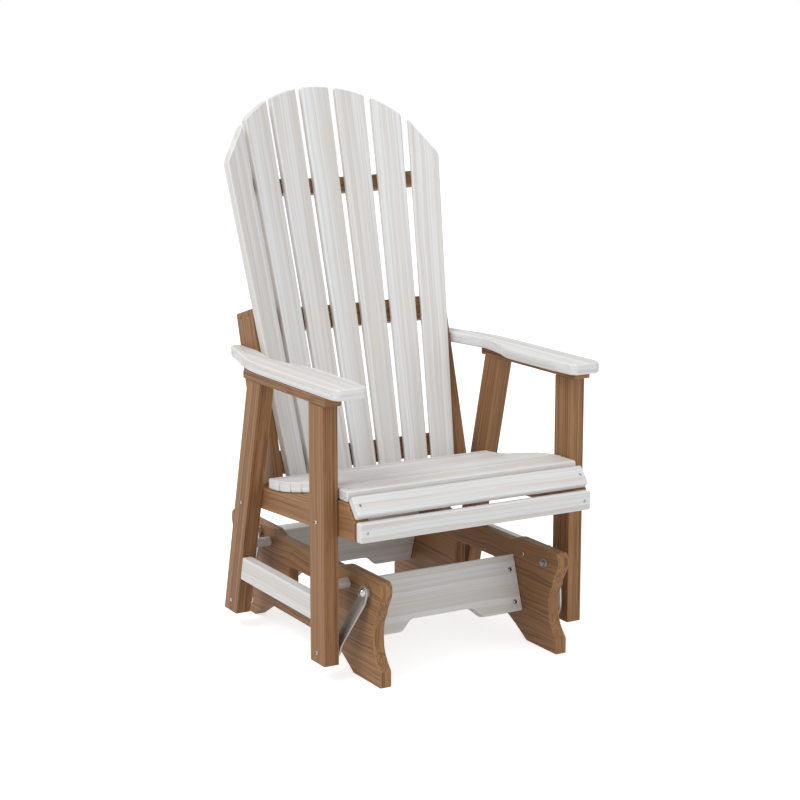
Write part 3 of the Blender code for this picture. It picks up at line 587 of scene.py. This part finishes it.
def add_object(name: str, data: Any) -> Object:
    """Put a new object into the scene.

    Args:
        name: Its name.
        data: Its camera or light, or a bmesh, which is freed.

    Returns:
        The new object.
    """
    if isinstance(data, BMesh):
        mesh = bpy.data.meshes.new(name)
        data.to_mesh(mesh)
        data.free()
        data = mesh
    made = bpy.data.objects.new(name, data)
    bpy.context.scene.collection.objects.link(made)
    return made


def add_piece(
    name: str, bm: BMesh, finish: Finish, body: Body,
    stands_for: Iterable[str] = (), smooth: float = 40.0,
) -> Object:
    """Turn a finished mesh, already in the row frame, into a piece on a body.

    Args:
        name: The piece's name.
        bm: Its mesh, which is freed.
        finish: What it is finished in.
        body: What it rides on.
        stands_for: CAD nodes that it replaces.
        smooth: Largest angle in degrees that is still shaded round.

    Returns:
        The new object.
    """
    piece = add_object(name, bm)
    piece.data.shade_smooth()
    piece.data.set_sharp_from_angle(angle=math.radians(smooth))
    piece.data.materials.append(finish.material())
    if stands_for:
        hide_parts(*stands_for)
    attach(piece, body.value)
    LOG.info("%s: %d faces on %s", name, len(piece.data.polygons), body.value)
    return piece


# ---- Boards ----


@dataclass
class BoardAxes:
    """Directions of a board: along its grain, across it and through its thickness."""

    along: Vector
    across: Vector
    through: Vector
    middle: Vector

    @classmethod
    def of(cls, bm: BMesh) -> "BoardAxes":
        """Read the directions off a board's longest edge and widest face.

        Args:
            bm: The board's mesh.

        Returns:
            Its axes, each pointing to its own positive side.
        """
        longest = max(bm.edges, key=lambda edge: edge.calc_length())
        widest = max(bm.faces, key=lambda face: face.calc_area())
        along = (longest.verts[1].co - longest.verts[0].co).normalized()
        through = widest.normal - along * widest.normal.dot(along)
        through.normalize()
        along, through = (v * math.copysign(1, max(v, key=abs)) for v in (along, through))
        lows, highs = (Vector(pick(v.co[i] for v in bm.verts) for i in range(3)) for pick in (min, max))
        return cls(along, through.cross(along), through, (lows + highs) / 2)


@dataclass(frozen=True)
class Screw:
    """A screw head with a six-lobe recess, sunk in a drilled pocket."""

    head: float = 0.0033  # Head radius
    crown: float = 0.0006  # How far the head bulges
    pocket: float = 0.0037  # Pocket radius in the board
    sunk: float = 0.0014  # How deep the head's rim lies under the board's face
    socket: float = 0.0015  # Radius of the drive recess
    skirt: float = 0.0014  # Height of the head's straight side
    recess: float = 0.0013  # Depth of the drive recess
    floor_share: float = 0.85  # Width of the recess's floor against its mouth
    lobe_share: float = 0.14  # How far its six lobes stand out, as a share of its radius
    # Each ring of the bulge: its width as a share of the head, and its rise as one of the crown
    rings: tuple[Pair, ...] = ((0.08, 0.55), (0.176, 0.35), (0.24, 0.10))
    drill_past: float = 0.0015  # How far the pocket reaches under the head's rim
    flare: float = 0.0005  # How much wider the pocket's mouth is
    lip: Pair = (-0.0004, 0.0001)  # Where the flare begins and ends, against the board's face
    overrun: float = 0.002  # How far the drill stands out of the board
    segments: int = 24

    def cutter(self) -> BMesh:
        """Make the pocket's drill with a small flare at the face, along local +X.

        Returns:
            The drill.
        """
        depth = self.sunk + self.drill_past
        mouth = self.pocket + self.flare
        profile = (
            (-depth, 0), (-depth, self.pocket), (self.lip[0], self.pocket), (self.lip[1], mouth),
            (self.overrun, mouth), (self.overrun, 0),
        )
        return turned(profile, self.segments)

    def build(self) -> BMesh:
        """Make the head with its recess, its rim sunk under local X = 0.

        Returns:
            The head.
        """
        bm = bmesh.new()
        bmesh.ops.create_circle(bm, cap_ends=True, radius=self.head, segments=self.segments)
        skirt = bmesh.ops.extrude_edge_only(bm, edges=bm.edges[:])["geom"]
        low = [part for part in skirt if isinstance(part, BMVert)]
        bmesh.ops.translate(bm, vec=(0, 0, -self.skirt), verts=low)
        for width, rise in self.rings:
            cap = max(bm.faces, key=lambda face: face.calc_center_median().z)
            bmesh.ops.inset_region(bm, faces=[cap], thickness=self.head * width)
            bmesh.ops.translate(bm, vec=(0, 0, self.crown * rise), verts=cap.verts[:])
        for corner in cap.verts:
            angle = math.atan2(corner.co.y, corner.co.x)
            lobe = self.socket * (1 - self.lobe_share * (1 - math.cos(6 * angle)))
            corner.co.x, corner.co.y = lobe * math.cos(angle), lobe * math.sin(angle)
        floor = bmesh.ops.extrude_discrete_faces(bm, faces=[cap])["faces"][0]
        bmesh.ops.translate(bm, vec=(0, 0, -self.recess), verts=floor.verts[:])
        bmesh.ops.scale(bm, vec=(self.floor_share, self.floor_share, 1), verts=floor.verts[:])
        bmesh.ops.recalc_face_normals(bm, faces=bm.faces[:])
        lay = Matrix.Translation((-self.sunk, 0, 0)) @ Matrix.Rotation(QUARTER_TURN, 4, "Y")
        bmesh.ops.transform(bm, matrix=lay, verts=bm.verts[:])
        return bm


@dataclass
class Hole:
    """A screw at a point of a board's face, with the way that face looks."""

    point: Vector
    outward: Vector
    screw: Screw

    def place(self) -> Matrix:
        """The place at the hole whose local +X looks outward."""
        turn = self.outward.normalized().to_track_quat("X", "Z").to_matrix().to_4x4()
        return Matrix.Translation(self.point) @ turn


@dataclass
class Board:
    """One lumber board: the CAD board's own shape, drilled, with its grain coordinates."""

    node: str
    finish: Finish
    body: Body
    figure: float = 0.3  # How far its streaks wander, from 0 to 1
    holes: list[Hole] = field(default_factory=list)  # Screws sunk into it
    strip: float = 0.0045  # Width under which a face is part of a rounded edge
    # Degrees of turn round a corner at which the paler edge, partly rubbing and partly a painted highlight,
    # begins and is full
    rub_angles: Pair = (28.0, 40.0)
    end_angle: float = 50.0  # Degrees off the grain within which a face is a sawn end
    smooth: float = 50.0  # Largest angle in degrees that is still shaded round
    flat: float = 0.4  # Largest angle in degrees between triangles of one face
    # Longest random shift of the pattern along the grain and across it
    shift: Pair = (9.0, 2.0)
    axes: BoardAxes = field(init=False)
    faces: BVHTree = field(init=False)  # Its faces, for lines that meet them
    corners: list[Vector] = field(init=False)  # Its corners, from its box's middle

    def __post_init__(self) -> None:
        """Measure the CAD board."""
        bm = self.shape()
        self.axes = BoardAxes.of(bm)
        self.faces = BVHTree.FromBMesh(bm)
        self.corners = [corner.co - self.axes.middle for corner in bm.verts]
        bm.free()

    def shape(self) -> BMesh:
        """Copy the CAD board, with its loose triangles merged to whole faces.

        Returns:
            The board's shape.
        """
        bm = bmesh.new()
        bm.from_mesh(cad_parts[self.node].data)
        bmesh.ops.remove_doubles(bm, verts=bm.verts[:], dist=SAME_POINT)
        bmesh.ops.dissolve_limit(
            bm, angle_limit=math.radians(self.flat), verts=bm.verts[:], edges=bm.edges[:],
            delimit={"NORMAL"},
        )
        bm.normal_update()
        return bm

    def reach(self, way: Vector) -> Pair:
        """How far the board reaches from its box's middle, against a direction and along it."""
        reaches = [corner.dot(way) for corner in self.corners]
        return min(reaches), max(reaches)

    def drill_at(self, start: Vector, way: Vector, screw: Screw) -> None:
        """Sink a screw where a line from outside meets the board, square to the face that it meets."""
        point, normal, _, _ = self.faces.ray_cast(start, way)
        self.holes.append(Hole(point, normal, screw))

    def drilled(self, bm: BMesh) -> BMesh:
        """Sink the screw pockets.

        Args:
            bm: The board, which is freed where it has screws.

        Returns:
            The drilled board.
        """
        if not self.holes:
            return bm
        drills = bmesh.new()
        for hole in self.holes:
            merge_into(drills, hole.screw.cutter(), hole.place())
        stock, cutter = add_object("stock", bm), add_object("drills", drills)
        cut = stock.modifiers.new("drill", "BOOLEAN")
        cut.operation, cut.solver, cut.object = "DIFFERENCE", "EXACT", cutter
        bpy.context.view_layer.update()
        result = bmesh.new()
        result.from_object(stock, bpy.context.evaluated_depsgraph_get())
        for thing in (stock, cutter):
            bpy.data.objects.remove(thing, do_unlink=True)
        result.normal_update()
        return result

    def rims(self, bm: BMesh) -> None:
        """Mark the middle of every rounded edge, which is painted paler: partly rubbed by hands and
        weather, partly a painted highlight.

        Args:
            bm: The board, which gets a float layer named rim.
        """
        layer = bm.verts.layers.float.new("rim")
        narrow = {
            face: face.calc_area() / max(edge.calc_length() for edge in face.edges) < self.strip
            for face in bm.faces
        }
        first, full = self.rub_angles
        for corner in bm.verts:
            faces = corner.link_faces
            if not faces or not all(narrow[face] for face in faces):
                continue
            spread = max(a.normal.angle(b.normal, 0) for a in faces for b in faces)
            corner[layer] = min(max((math.degrees(spread) - first) / (full - first), 0), 1)

    def grain(self, bm: BMesh) -> None:
        """Lay the board's own coordinates on its faces, streaks along each end's long side too.

        Args:
            bm: The board, which gets a corner layer named board and float layers named tone and figure.
        """
        axes = self.axes
        chance = random.Random(self.node)
        shift = Vector(chance.uniform(0, self.shift[k]) for k in (0, 1, 1))
        for name, value in (("tone", chance.random()), ("figure", self.figure)):
            layer = bm.verts.layers.float.new(name)
            for corner in bm.verts:
                corner[layer] = value
        place = bm.loops.layers.float_vector.new("board")
        for face in bm.faces:
            end = abs(face.normal.dot(axes.along)) > math.cos(math.radians(self.end_angle))
            for loop in face.loops:
                co = loop.vert.co - axes.middle
                u, v, w = co.dot(axes.along), co.dot(axes.across), co.dot(axes.through)
                loop[place] = shift + Vector((v, w, u) if end else (u, v, w))

    def build(self) -> None:
        """Make the board, with its normals weighted to its flat faces."""
        bm = self.drilled(self.shape())
        self.rims(bm)
        self.grain(bm)
        piece = add_piece(f"{self.node}_board", bm, self.finish, self.body, [self.node], self.smooth)
        weighted = piece.modifiers.new("flat_faces_stay_flat", "WEIGHTED_NORMAL")
        weighted.keep_sharp = True


def build_boards(boards: Iterable[Board], screws: str, body: Body) -> None:
    """Make some boards, and all their screw heads as one piece.

    Args:
        boards: The boards.
        screws: Name of the piece with the screw heads.
        body: What they ride on.
    """
    heads = bmesh.new()
    for board in boards:
        board.build()
        for hole in board.holes:
            merge_into(heads, hole.screw.build(), hole.place())
    add_piece(screws, heads, Finish.BRIGHT_STEEL, body)


# ---- Sub-assemblies ----


def box_middle(node: str) -> Vector:
    """Middle of a CAD node's box."""
    low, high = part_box(node)
    return (low + high) / 2


@dataclass
class PivotBolt:
    """Bolt of an upper pivot: hex nut with a round collar inside, washer and domed cap outside."""

    shank: float = 0.0032  # Radius of the shank
    nut: Pair = (0.0080, 0.0062)  # Distance of the nut's corners from the axis, and its height
    collar: Pair = (0.0063, 0.0030)  # Radius and height of the nut's round collar
    washer: Pair = (0.0106, 0.0013)  # Radius and thickness of both washers
    cap: float = 0.0104  # Radius of the outer domed cap
    edge: float = 0.0004  # Radius of the washers' and the shank's rounded rims
    collar_edge: float = 0.0009  # Radius of the collar's rounded rims
    gap: float = 0.0001  # Clearance between the inner washer and the base side
    overlap: float = 0.001  # How far shank and collar reach into the piece after them

    def build(self, inner: float, outer: float, reach: float) -> BMesh:
        """The whole bolt along local X.

        Args:
            inner: Place of the base side's inner face.
            outer: Place of the hanger's outer face.
            reach: Place of the cap's top.

        Returns:
            The bolt with its nut and washers.
        """
        radius, board = self.washer
        seat = inner - board
        back = seat - self.nut[1]
        end = back - self.collar[1]
        bm = hex_nut(seat, *self.nut)
        for blank in (
            (seat, inner - self.gap, radius, self.edge),
            (end, back + self.overlap, self.collar[0], self.collar_edge),
            (end - self.edge, outer + self.overlap, self.shank, self.edge),
            (outer, outer + board, radius, self.edge),
        ):
            merge_into(bm, turned(rounded(*blank)))
        foot = outer + board
        merge_into(bm, turned([(foot, 0.0)] + dome(foot, self.cap, reach - foot), ROUND_STEPS))
        return bm


@dataclass
class GliderBase:
    """The standing base: two shaped sides, two leaning rails, four stop rods, four pivot bolts."""

    rod_radius: float = 0.0112
    rod_edge: float = 0.0025  # Radius of its rounded rims
    hanger_face: float = 0.2608  # Distance of a hanger's outer face from the middle plane
    rail_screw: Screw = Screw(head=0.0050, crown=0.0014, pocket=0.0061, sunk=0.0008, socket=0.0019)
    rail_screw_inset: float = 0.0170  # Its distance from the rail's end
    # Heights of each end's two screws, as shares of the rail's
    rail_screw_shares: Pair = (0.17, 0.74)
    rod_screw: Screw = Screw(head=0.0050, crown=0.0016, pocket=0.0056, sunk=0.0003, socket=0.0019)

    def rails(self) -> list[Board]:
        """Lay out the rails, with two screws near each end of the face that looks outward.

        Returns:
            The two rails.
        """
        made = []
        for node, ahead in (("base_front_rail", -1), ("base_rear_rail", 1)):
            board = Board(node, Finish.WHITE, Body.BASE)
            axes = board.axes
            outward = axes.through * math.copysign(1, axes.through.y * ahead)
            up = axes.across * math.copysign(1, axes.across.z)
            bottom, top = board.reach(up)
            depth = board.reach(outward)[1]
            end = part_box(node)[1].x - self.rail_screw_inset
            for share in self.rail_screw_shares:
                rise = bottom + share * (top - bottom)
                for side in Side:
                    point = Vector((side * end, axes.middle.y, axes.middle.z)) + up * rise + outward * depth
                    board.holes.append(Hole(point, outward, self.rail_screw))
            made.append(board)
        return made

    def sides(self) -> list[Board]:
        """Lay out the sides, with a screw from the inner face into each stop rod.

        Returns:
            The two sides.
        """
        made = []
        for side in Side:
            board = Board(f"base_side_{side.hand}", Finish.BROWN, Body.BASE, figure=1.0)
            inner = side * side.span(board.node)[0]
            for end in ENDS:
                rod = box_middle(f"stop_rod_{end}_{side.hand}")
                point = Vector((inner, rod.y, rod.z))
                board.holes.append(Hole(point, side.inward, self.rod_screw))
            made.append(board)
        return made

    def rod(self, node: str) -> None:
        """Make one smooth rod with rounded rims in place of the CAD one.

        Args:
            node: The CAD rod.
        """
        low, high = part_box(node)
        middle = (low + high) / 2
        bm = turned(rounded(low.x, high.x, self.rod_radius, self.rod_edge), ROUND_STEPS)
        bmesh.ops.translate(bm, vec=(0, middle.y, middle.z), verts=bm.verts[:])
        stock = Board(node, Finish.WHITE, Body.BASE)
        stock.axes = BoardAxes(*Matrix.Identity(3), middle)
        stock.rims(bm)
        stock.grain(bm)
        add_piece(f"{node}_turned", bm, Finish.WHITE, Body.BASE, [node])

    def bolt(self, node: str, side: Side) -> None:
        """Make one upper pivot bolt in place of the CAD one.

        Args:
            node: The CAD bolt.
            side: Its side.
        """
        inner = side.span(f"base_side_{side.hand}")[0]
        bm = PivotBolt().build(inner, self.hanger_face, side.span(node)[1])
        bmesh.ops.transform(bm, matrix=side.place(box_middle(node)), verts=bm.verts[:])
        add_piece(f"{node}_turned", bm, Finish.BRIGHT_STEEL, Body.BASE, [node])

    def build(self) -> None:
        """Make the whole base."""
        build_boards(self.sides() + self.rails(), "base_screws", Body.BASE)
        corners = [(side, end) for side in Side for end in ENDS]
        for side, end in corners:
            self.rod(f"stop_rod_{end}_{side.hand}")
        for side, end in corners:
            self.bolt(f"upper_pivot_bolt_{end}_{side.hand}", side)


@dataclass
class HangerBars:
    """The four flat steel bars with their bearings, which swing between base and chair."""

    width: float = 0.0318  # Width of a bar
    board: float = 0.0048  # Its thickness
    edge: float = 0.0009  # Radius of its rounded edges
    sharp: float = 60.0  # Angle in degrees over which an edge is rounded
    standoff: float = 0.0089  # How far it stands off the base side and off the leg
    jog_start: float = 0.0220  # Level under the upper pivot at which its joggle begins
    jog_end: float = 0.1329  # Level at which it ends
    bend: float = 0.0070  # Length of the soft bend at each end of the joggle
    bend_steps: int = 4
    bearing: float = 0.0120  # Radius of a bearing
    bearing_edge: float = 0.0012  # Radius of its rounded rims
    gap: float = 0.0004  # Clearance between a bearing and the board beside it
    overlap: float = 0.002  # How far a bearing reaches into the bar
    cap: Pair = (0.0105, 0.0060)  # Radius and height of the domed cap at the rear lower end

    def jog_share(self, level: float) -> float:
        """How much of the jog is done at a level: straight between two soft bends.

        Args:
            level: Distance below the upper pivot.

        Returns:
            A share from 0 to 1.
        """
        done = 0.0
        for middle, sign in ((self.jog_start, 1), (self.jog_end, -1)):
            past = min(max(level - middle + self.bend / 2, 0), self.bend)
            done += sign * (past * past / (2 * self.bend) + max(level - middle - self.bend / 2, 0))
        return done / (self.jog_end - self.jog_start)

    def bar(self, length: float, inner: float, jog: float) -> BMesh:
        """The bar with round ends and its joggle, hanging down from its upper pivot.

        Args:
            length: Distance between its pivots.
            inner: Place of its upper end's inner face along X.
            jog: How far its lower end stands further out.

        Returns:
            The bar.
        """
        radius = self.width / 2
        bm = bmesh.new()
        for middle, start in ((0.0, 1), (-length, -1)):
            first = bm.verts.new((radius * start, middle, 0))
            bmesh.ops.spin(
                bm, geom=[first], cent=(0, middle, 0), axis=(0, 0, 1), angle=math.pi,
                steps=ROUND_STEPS // 2, use_merge=False,
            )
        ends = sorted((v for v in bm.verts if len(v.link_edges) == 1), key=lambda v: (v.co.x, v.co.y))
        bm.edges.new(ends[:2])
        bm.edges.new(ends[2:])
        face = bmesh.ops.contextual_create(bm, geom=bm.edges[:])["faces"][0]
        raised = bmesh.ops.extrude_face_region(bm, geom=[face])["geom"]
        tops = [part for part in raised if isinstance(part, BMVert)]
        bmesh.ops.translate(bm, vec=(0, 0, self.board), verts=tops)
        bmesh.ops.recalc_face_normals(bm, faces=bm.faces[:])
        bmesh.ops.bevel(
            bm, geom=[e for e in bm.edges if e.calc_face_angle(0) > math.radians(self.sharp)],
            offset=self.edge, offset_type="OFFSET", segments=2, profile=0.5, affect="EDGES",
            clamp_overlap=False, material=-1,
        )
        for middle in (self.jog_start, self.jog_end):
            for k in range(self.bend_steps + 1):
                level = middle + self.bend * (k / self.bend_steps - 0.5)
                bmesh.ops.bisect_plane(
                    bm, geom=bm.verts[:] + bm.edges[:] + bm.faces[:], plane_co=(0, -level, 0),
                    plane_no=(0, 1, 0),
                )
        for corner in bm.verts:
            corner.co.z += inner + jog * self.jog_share(-corner.co.y)
        stand = Matrix.Rotation(QUARTER_TURN, 4, "Z") @ Matrix.Rotation(QUARTER_TURN, 4, "X")
        bmesh.ops.transform(bm, matrix=stand, verts=bm.verts[:])
        return bm

    def build_one(self, end: str, side: Side, body: Body) -> None:
        """Make one hanger from the pivots of the frame.

        Args:
            end: front or rear.
            side: Its side.
            body: What it rides on.
        """
        corner = f"{end}_{side.hand}"
        upper = box_middle(f"upper_pivot_bolt_{corner}")
        lower = box_middle(f"lower_pivot_bolt_{corner}")
        outer = side.span(f"base_side_{side.hand}")[1]
        leg = side.span(f"leg_{corner}")[0]
        inner = outer + self.standoff
        jog = leg - self.standoff - self.board - inner
        hang = Vector((0, lower.y - upper.y, lower.z - upper.z))
        bm = self.bar(hang.length, inner, jog)
        down = Matrix.Translation((0, 0, -hang.length))
        for start, stop, place in (
            (outer + self.gap, inner + self.overlap, Matrix.Identity(4)),
            (inner + jog + self.overlap, leg - self.gap, down),
        ):
            merge_into(bm, turned(rounded(start, stop, self.bearing, self.bearing_edge)), place)
        if end == "rear":
            cap = [(inner + jog, 0.0)] + dome(inner + jog, self.cap[0], -self.cap[1])
            merge_into(bm, turned(cap), down)
        hung = side.place(upper, math.atan2(hang.y, -hang.z))
        bmesh.ops.transform(bm, matrix=hung, verts=bm.verts[:])
        node = f"hanger_{corner}"
        add_piece(f"{node}_bar", bm, Finish.SATIN_STEEL, body, [node])

    def build(self) -> None:
        """Make all four hangers."""
        for side in Side:
            self.build_one("front", side, Body.FRONT_HANGERS)
            self.build_one("rear", side, Body.REAR_HANGERS)


@dataclass
class ChairFrame:
    """Legs, stretchers, arms and seat stringers, with the bolts through the legs."""

    bolt: Pair = (0.0048, 0.0030)  # Radius and height of a bolt's domed head
    socket: Pair = (0.0019, 0.0020)  # Radius and depth of its drive socket
    dome_steps: int = 9  # Facets of the dome from rim to axis
    lip_share: float = 1.1  # Radius of the dome's last ring outside the socket, against the socket's
    floor_share: float = 0.9  # Radius of the socket's floor against its mouth
    shank: float = 0.0032  # Radius of the shank
    shank_edge: float = 0.0002  # Radius of its rounded tip
    overlap: float = 0.0005  # How far it reaches into its head
    nut: Pair = (0.0066, 0.0060)  # Distance of a nut's corners from the axis, and its height
    tip: float = 0.0005  # How far the shank stands out of its nut
    # Screw through the tail of an armrest
    arm_screw: Screw = Screw(head=0.0034, crown=0.0005, pocket=0.0042, sunk=0.0045, socket=0.0015)
    arm_screw_lead: float = 0.0300  # Its distance from the armrest's rear end
    arm_screw_drop: float = 0.0010  # How far it lies under the armrest's middle
    # Screw through the underside of a stringer
    rail_screw: Screw = Screw(head=0.0028, crown=0.0006, pocket=0.0030)
    rail_screw_lead: float = 0.0503  # Its distance behind the rear leg's front edge

    def boards(self) -> list[Board]:
        """Lay out the frame, with a screw in each armrest's tail and each stringer's underside.

        Returns:
            Every board of the frame.
        """
        made = []
        for side in Side:
            for node in ("leg_front", "leg_rear", "arm_support"):
                made.append(Board(f"{node}_{side.hand}", Finish.BROWN, Body.CHAIR))
            made.append(Board(f"leg_stretcher_{side.hand}", Finish.WHITE, Body.CHAIR))
            arm = Board(f"armrest_{side.hand}", Finish.WHITE, Body.CHAIR)
            low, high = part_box(arm.node)
            start = Vector((side, high.y - self.arm_screw_lead, (low.z + high.z) / 2 - self.arm_screw_drop))
            arm.drill_at(start, side.inward, self.arm_screw)
            stringer = Board(f"seat_stringer_{side.hand}", Finish.BROWN, Body.CHAIR, figure=0.8)
            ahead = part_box(f"leg_rear_{side.hand}")[0].y
            start = Vector((box_middle(stringer.node).x, ahead + self.rail_screw_lead, 0))
            stringer.drill_at(start, Vector((0, 0, 1)), self.rail_screw)
            made += [arm, stringer]
        return made

    def head(self, face: float) -> Profile:
        """Profile of a leg bolt's domed head with its round drive socket.

        Args:
            face: Place of the head's seat.

        Returns:
            The profile's points, axis to axis.
        """
        width, height = self.bolt
        radius, depth = self.socket
        rim = face + height * math.sqrt(1 - (radius / width) ** 2)
        whole = dome(face, width, height, self.dome_steps)
        outside = [point for point in whole if point[1] > radius * self.lip_share]
        inside = [(rim, radius), (rim - depth, radius * self.floor_share), (rim - depth, 0.0)]
        return [(face, 0.0)] + outside + inside

    def build_bolt(self, name: str, side: Side) -> None:
        """Make one bolt through a leg, the front pivot's with its inner nut.

        Args:
            name: The CAD bolt's name without its side.
            side: Its side.
        """
        node = f"{name}_{side.hand}"
        inner, outer = side.span(node)
        face = outer - self.bolt[1]
        bm = turned(self.head(face), ROUND_STEPS)
        merge_into(bm, turned(rounded(inner, face + self.overlap, self.shank, self.shank_edge)))
        if name == "lower_pivot_bolt_front":
            merge_into(bm, hex_nut(inner + self.tip + self.nut[1], *self.nut))
        bmesh.ops.transform(bm, matrix=side.place(box_middle(node)), verts=bm.verts[:])
        add_piece(f"{node}_turned", bm, Finish.BRIGHT_STEEL, Body.CHAIR, [node])

    def build(self) -> None:
        """Make the chair's frame."""
        build_boards(self.boards(), "chair_frame_screws", Body.CHAIR)
        for side in Side:
            for bolt in ("lower_pivot_bolt", "leg_bolt"):
                for end in ENDS:
                    self.build_bolt(f"{bolt}_{end}", side)


@dataclass
class Seat:
    """Seven slats over the dip, the nose slat and the apron, each screwed near its ends."""

    slats: int = 7
    screw: Screw = Screw()  # Screw of every slat
    screw_reach: float = 0.2832  # Its distance from the middle plane
    nose_screw_reach: float = 0.2875  # The same on the nose slat
    upright: float = 0.2  # Rise of a face's direction under which the face counts as upright

    def boards(self) -> list[Board]:
        """Lay out the seat, with a screw through each end of the face that looks up or to the front.

        Returns:
            Every board of the seat.
        """
        made = []
        names = [f"seat_slat_{k + 1}" for k in range(self.slats)] + ["seat_nose_slat", "seat_apron"]
        for node in names:
            board = Board(node, Finish.WHITE, Body.CHAIR)
            axes = board.axes
            outward = axes.through.copy()
            if outward.z < self.upright and outward.y > 0 or outward.z < -self.upright:
                outward.negate()
            depth = board.reach(outward)[1]
            reach = self.nose_screw_reach if node == "seat_nose_slat" else self.screw_reach
            for side in Side:
                point = Vector((side * reach, axes.middle.y, axes.middle.z))
                board.holes.append(Hole(point + outward * depth, outward, self.screw))
            made.append(board)
        return made

    def build(self) -> None:
        """Make the seat."""
        build_boards(self.boards(), "seat_screws", Body.CHAIR)


@dataclass
class Backrest:
    """Fan of seven slats, the rails behind them and two posts with their screws."""

    slats: int = 7
    post_screw: Screw = Screw(head=0.0025, crown=0.0004, pocket=0.0029, sunk=0.0035, socket=0.0012)
    post_screw_drop: float = 0.0120  # Distance of both screws from the post's top
    post_screw_spacing: float = 0.0410  # Distance between them

    def posts(self) -> list[Board]:
        """Lay out the posts, with two screws through each into the middle rail's end.

        Returns:
            The two posts.
        """
        made = []
        for side in Side:
            post = Board(f"back_post_{side.hand}", Finish.BROWN, Body.CHAIR)
            axes = post.axes
            top = axes.middle + axes.along * (post.reach(axes.along)[1] - self.post_screw_drop)
            for way in (-1, 1):
                across = sum(post.reach(axes.across)) / 2 + way * self.post_screw_spacing / 2
                start = top + axes.across * across + Vector((side, 0, 0))
                post.drill_at(start, side.inward, self.post_screw)
            made.append(post)
        return made

    def boards(self) -> list[Board]:
        """Lay out the back.

        Returns:
            Every board of the back.
        """
        made = [Board(f"back_slat_{k + 1}", Finish.WHITE, Body.CHAIR) for k in range(self.slats)]
        for rail in ("lower_bottom", "lower_top", "middle_bottom", "middle_top", "upper"):
            made.append(Board(f"back_rail_{rail}", Finish.BROWN, Body.CHAIR))
        return made + self.posts()

    def build(self) -> None:
        """Make the back."""
        build_boards(self.boards(), "back_screws", Body.CHAIR)


# ---- Studio ----


@dataclass
class Lamp:
    """One soft box: where it hangs, how wide it is, how much light it gives and where it aims."""

    name: str
    place: Point
    width: float
    power: float
    aim: Point = (0.0, 0.0, 0.6)

    def build(self) -> None:
        """Hang the lamp and turn it to its aim."""
        data = bpy.data.lights.new(self.name, "AREA")
        data.shape, data.size, data.energy = "SQUARE", self.width, self.power
        lamp = add_object(self.name, data)
        look = (Vector(self.aim) - Vector(self.place)).to_track_quat("-Z", "Y").to_matrix().to_4x4()
        lamp.matrix_world = Matrix.Translation(self.place) @ look


@dataclass
class Studio:
    """White paper floor, white surroundings, soft boxes and the camera of the photograph."""

    floor_reach: float = 14.0  # Distance of the floor's edges from its middle
    ambient: float = 0.66  # Strength of the white surroundings for all but camera, mirror and glass rays
    camera_place: Point = (-2.2460, -3.9341, 1.4547)
    # Degrees that it looks down, and to the right of straight ahead
    camera_turn: Pair = (11.22, 29.99)
    camera_lens: float = 87.83  # Focal length in millimetres
    sensor: float = 36.0  # Width of its picture in millimetres
    lamps: tuple[Lamp, ...] = (
        Lamp("key_box", (-2.85, -0.74, 4.14), 2.4, 86.0),
        Lamp("front_box", (0.6, -4.4, 1.3), 2.6, 20.0),
    )

    def floor(self) -> None:
        """Lay the paper under the feet."""
        bm = bmesh.new()
        bmesh.ops.create_grid(bm, x_segments=4, y_segments=4, size=self.floor_reach)
        floor = add_object("studio_floor", bm)
        floor.data.materials.append(PaperFinish().build())

    def surroundings(self) -> None:
        """White for camera, mirror and glass rays, a plain soft level for the rest."""
        world = bpy.data.worlds.new("white_surroundings")
        bpy.context.scene.world = world
        world.use_nodes = True
        tree = world.node_tree
        path = add_node(tree, "ShaderNodeLightPath")
        seen = path.outputs["Is Camera Ray"]
        for ray in ("Is Glossy Ray", "Is Transmission Ray"):
            seen = add_node(
                tree, "ShaderNodeMath", {0: seen, 1: path.outputs[ray]}, operation="MAXIMUM",
            ).outputs[0]
        level = add_node(tree, "ShaderNodeMapRange", {"Value": seen, "To Min": self.ambient, "To Max": 1.0})
        feed(tree.nodes["Background"], {"Color": (1, 1, 1, 1), "Strength": level.outputs[0]})

    def camera(self) -> None:
        """Stand the camera where the photograph was taken from."""
        data = bpy.data.cameras.new("photo_camera")
        data.sensor_width, data.lens = self.sensor, self.camera_lens
        camera = add_object("photo_camera", data)
        camera.location = self.camera_place
        down, right = (math.radians(angle) for angle in self.camera_turn)
        camera.rotation_euler = (QUARTER_TURN - down, 0, -right)
        bpy.context.scene.camera = camera

    def build(self) -> None:
        """Set up floor, surroundings, lamps and camera."""
        self.camera()
        self.floor()
        self.surroundings()
        for lamp in self.lamps:
            lamp.build()
        bpy.context.scene.view_settings.view_transform = "Standard"


def main() -> None:
    """Build the studio, then each sub-assembly in order."""
    logging.basicConfig(level=logging.INFO, format="%(name)s %(message)s")
    Studio().build()
    for assembly in (GliderBase(), HangerBars(), ChairFrame(), Seat(), Backrest()):
        assembly.build()
        LOG.info("%s is done", type(assembly).__name__)


if __name__ == "__main__":
    main()
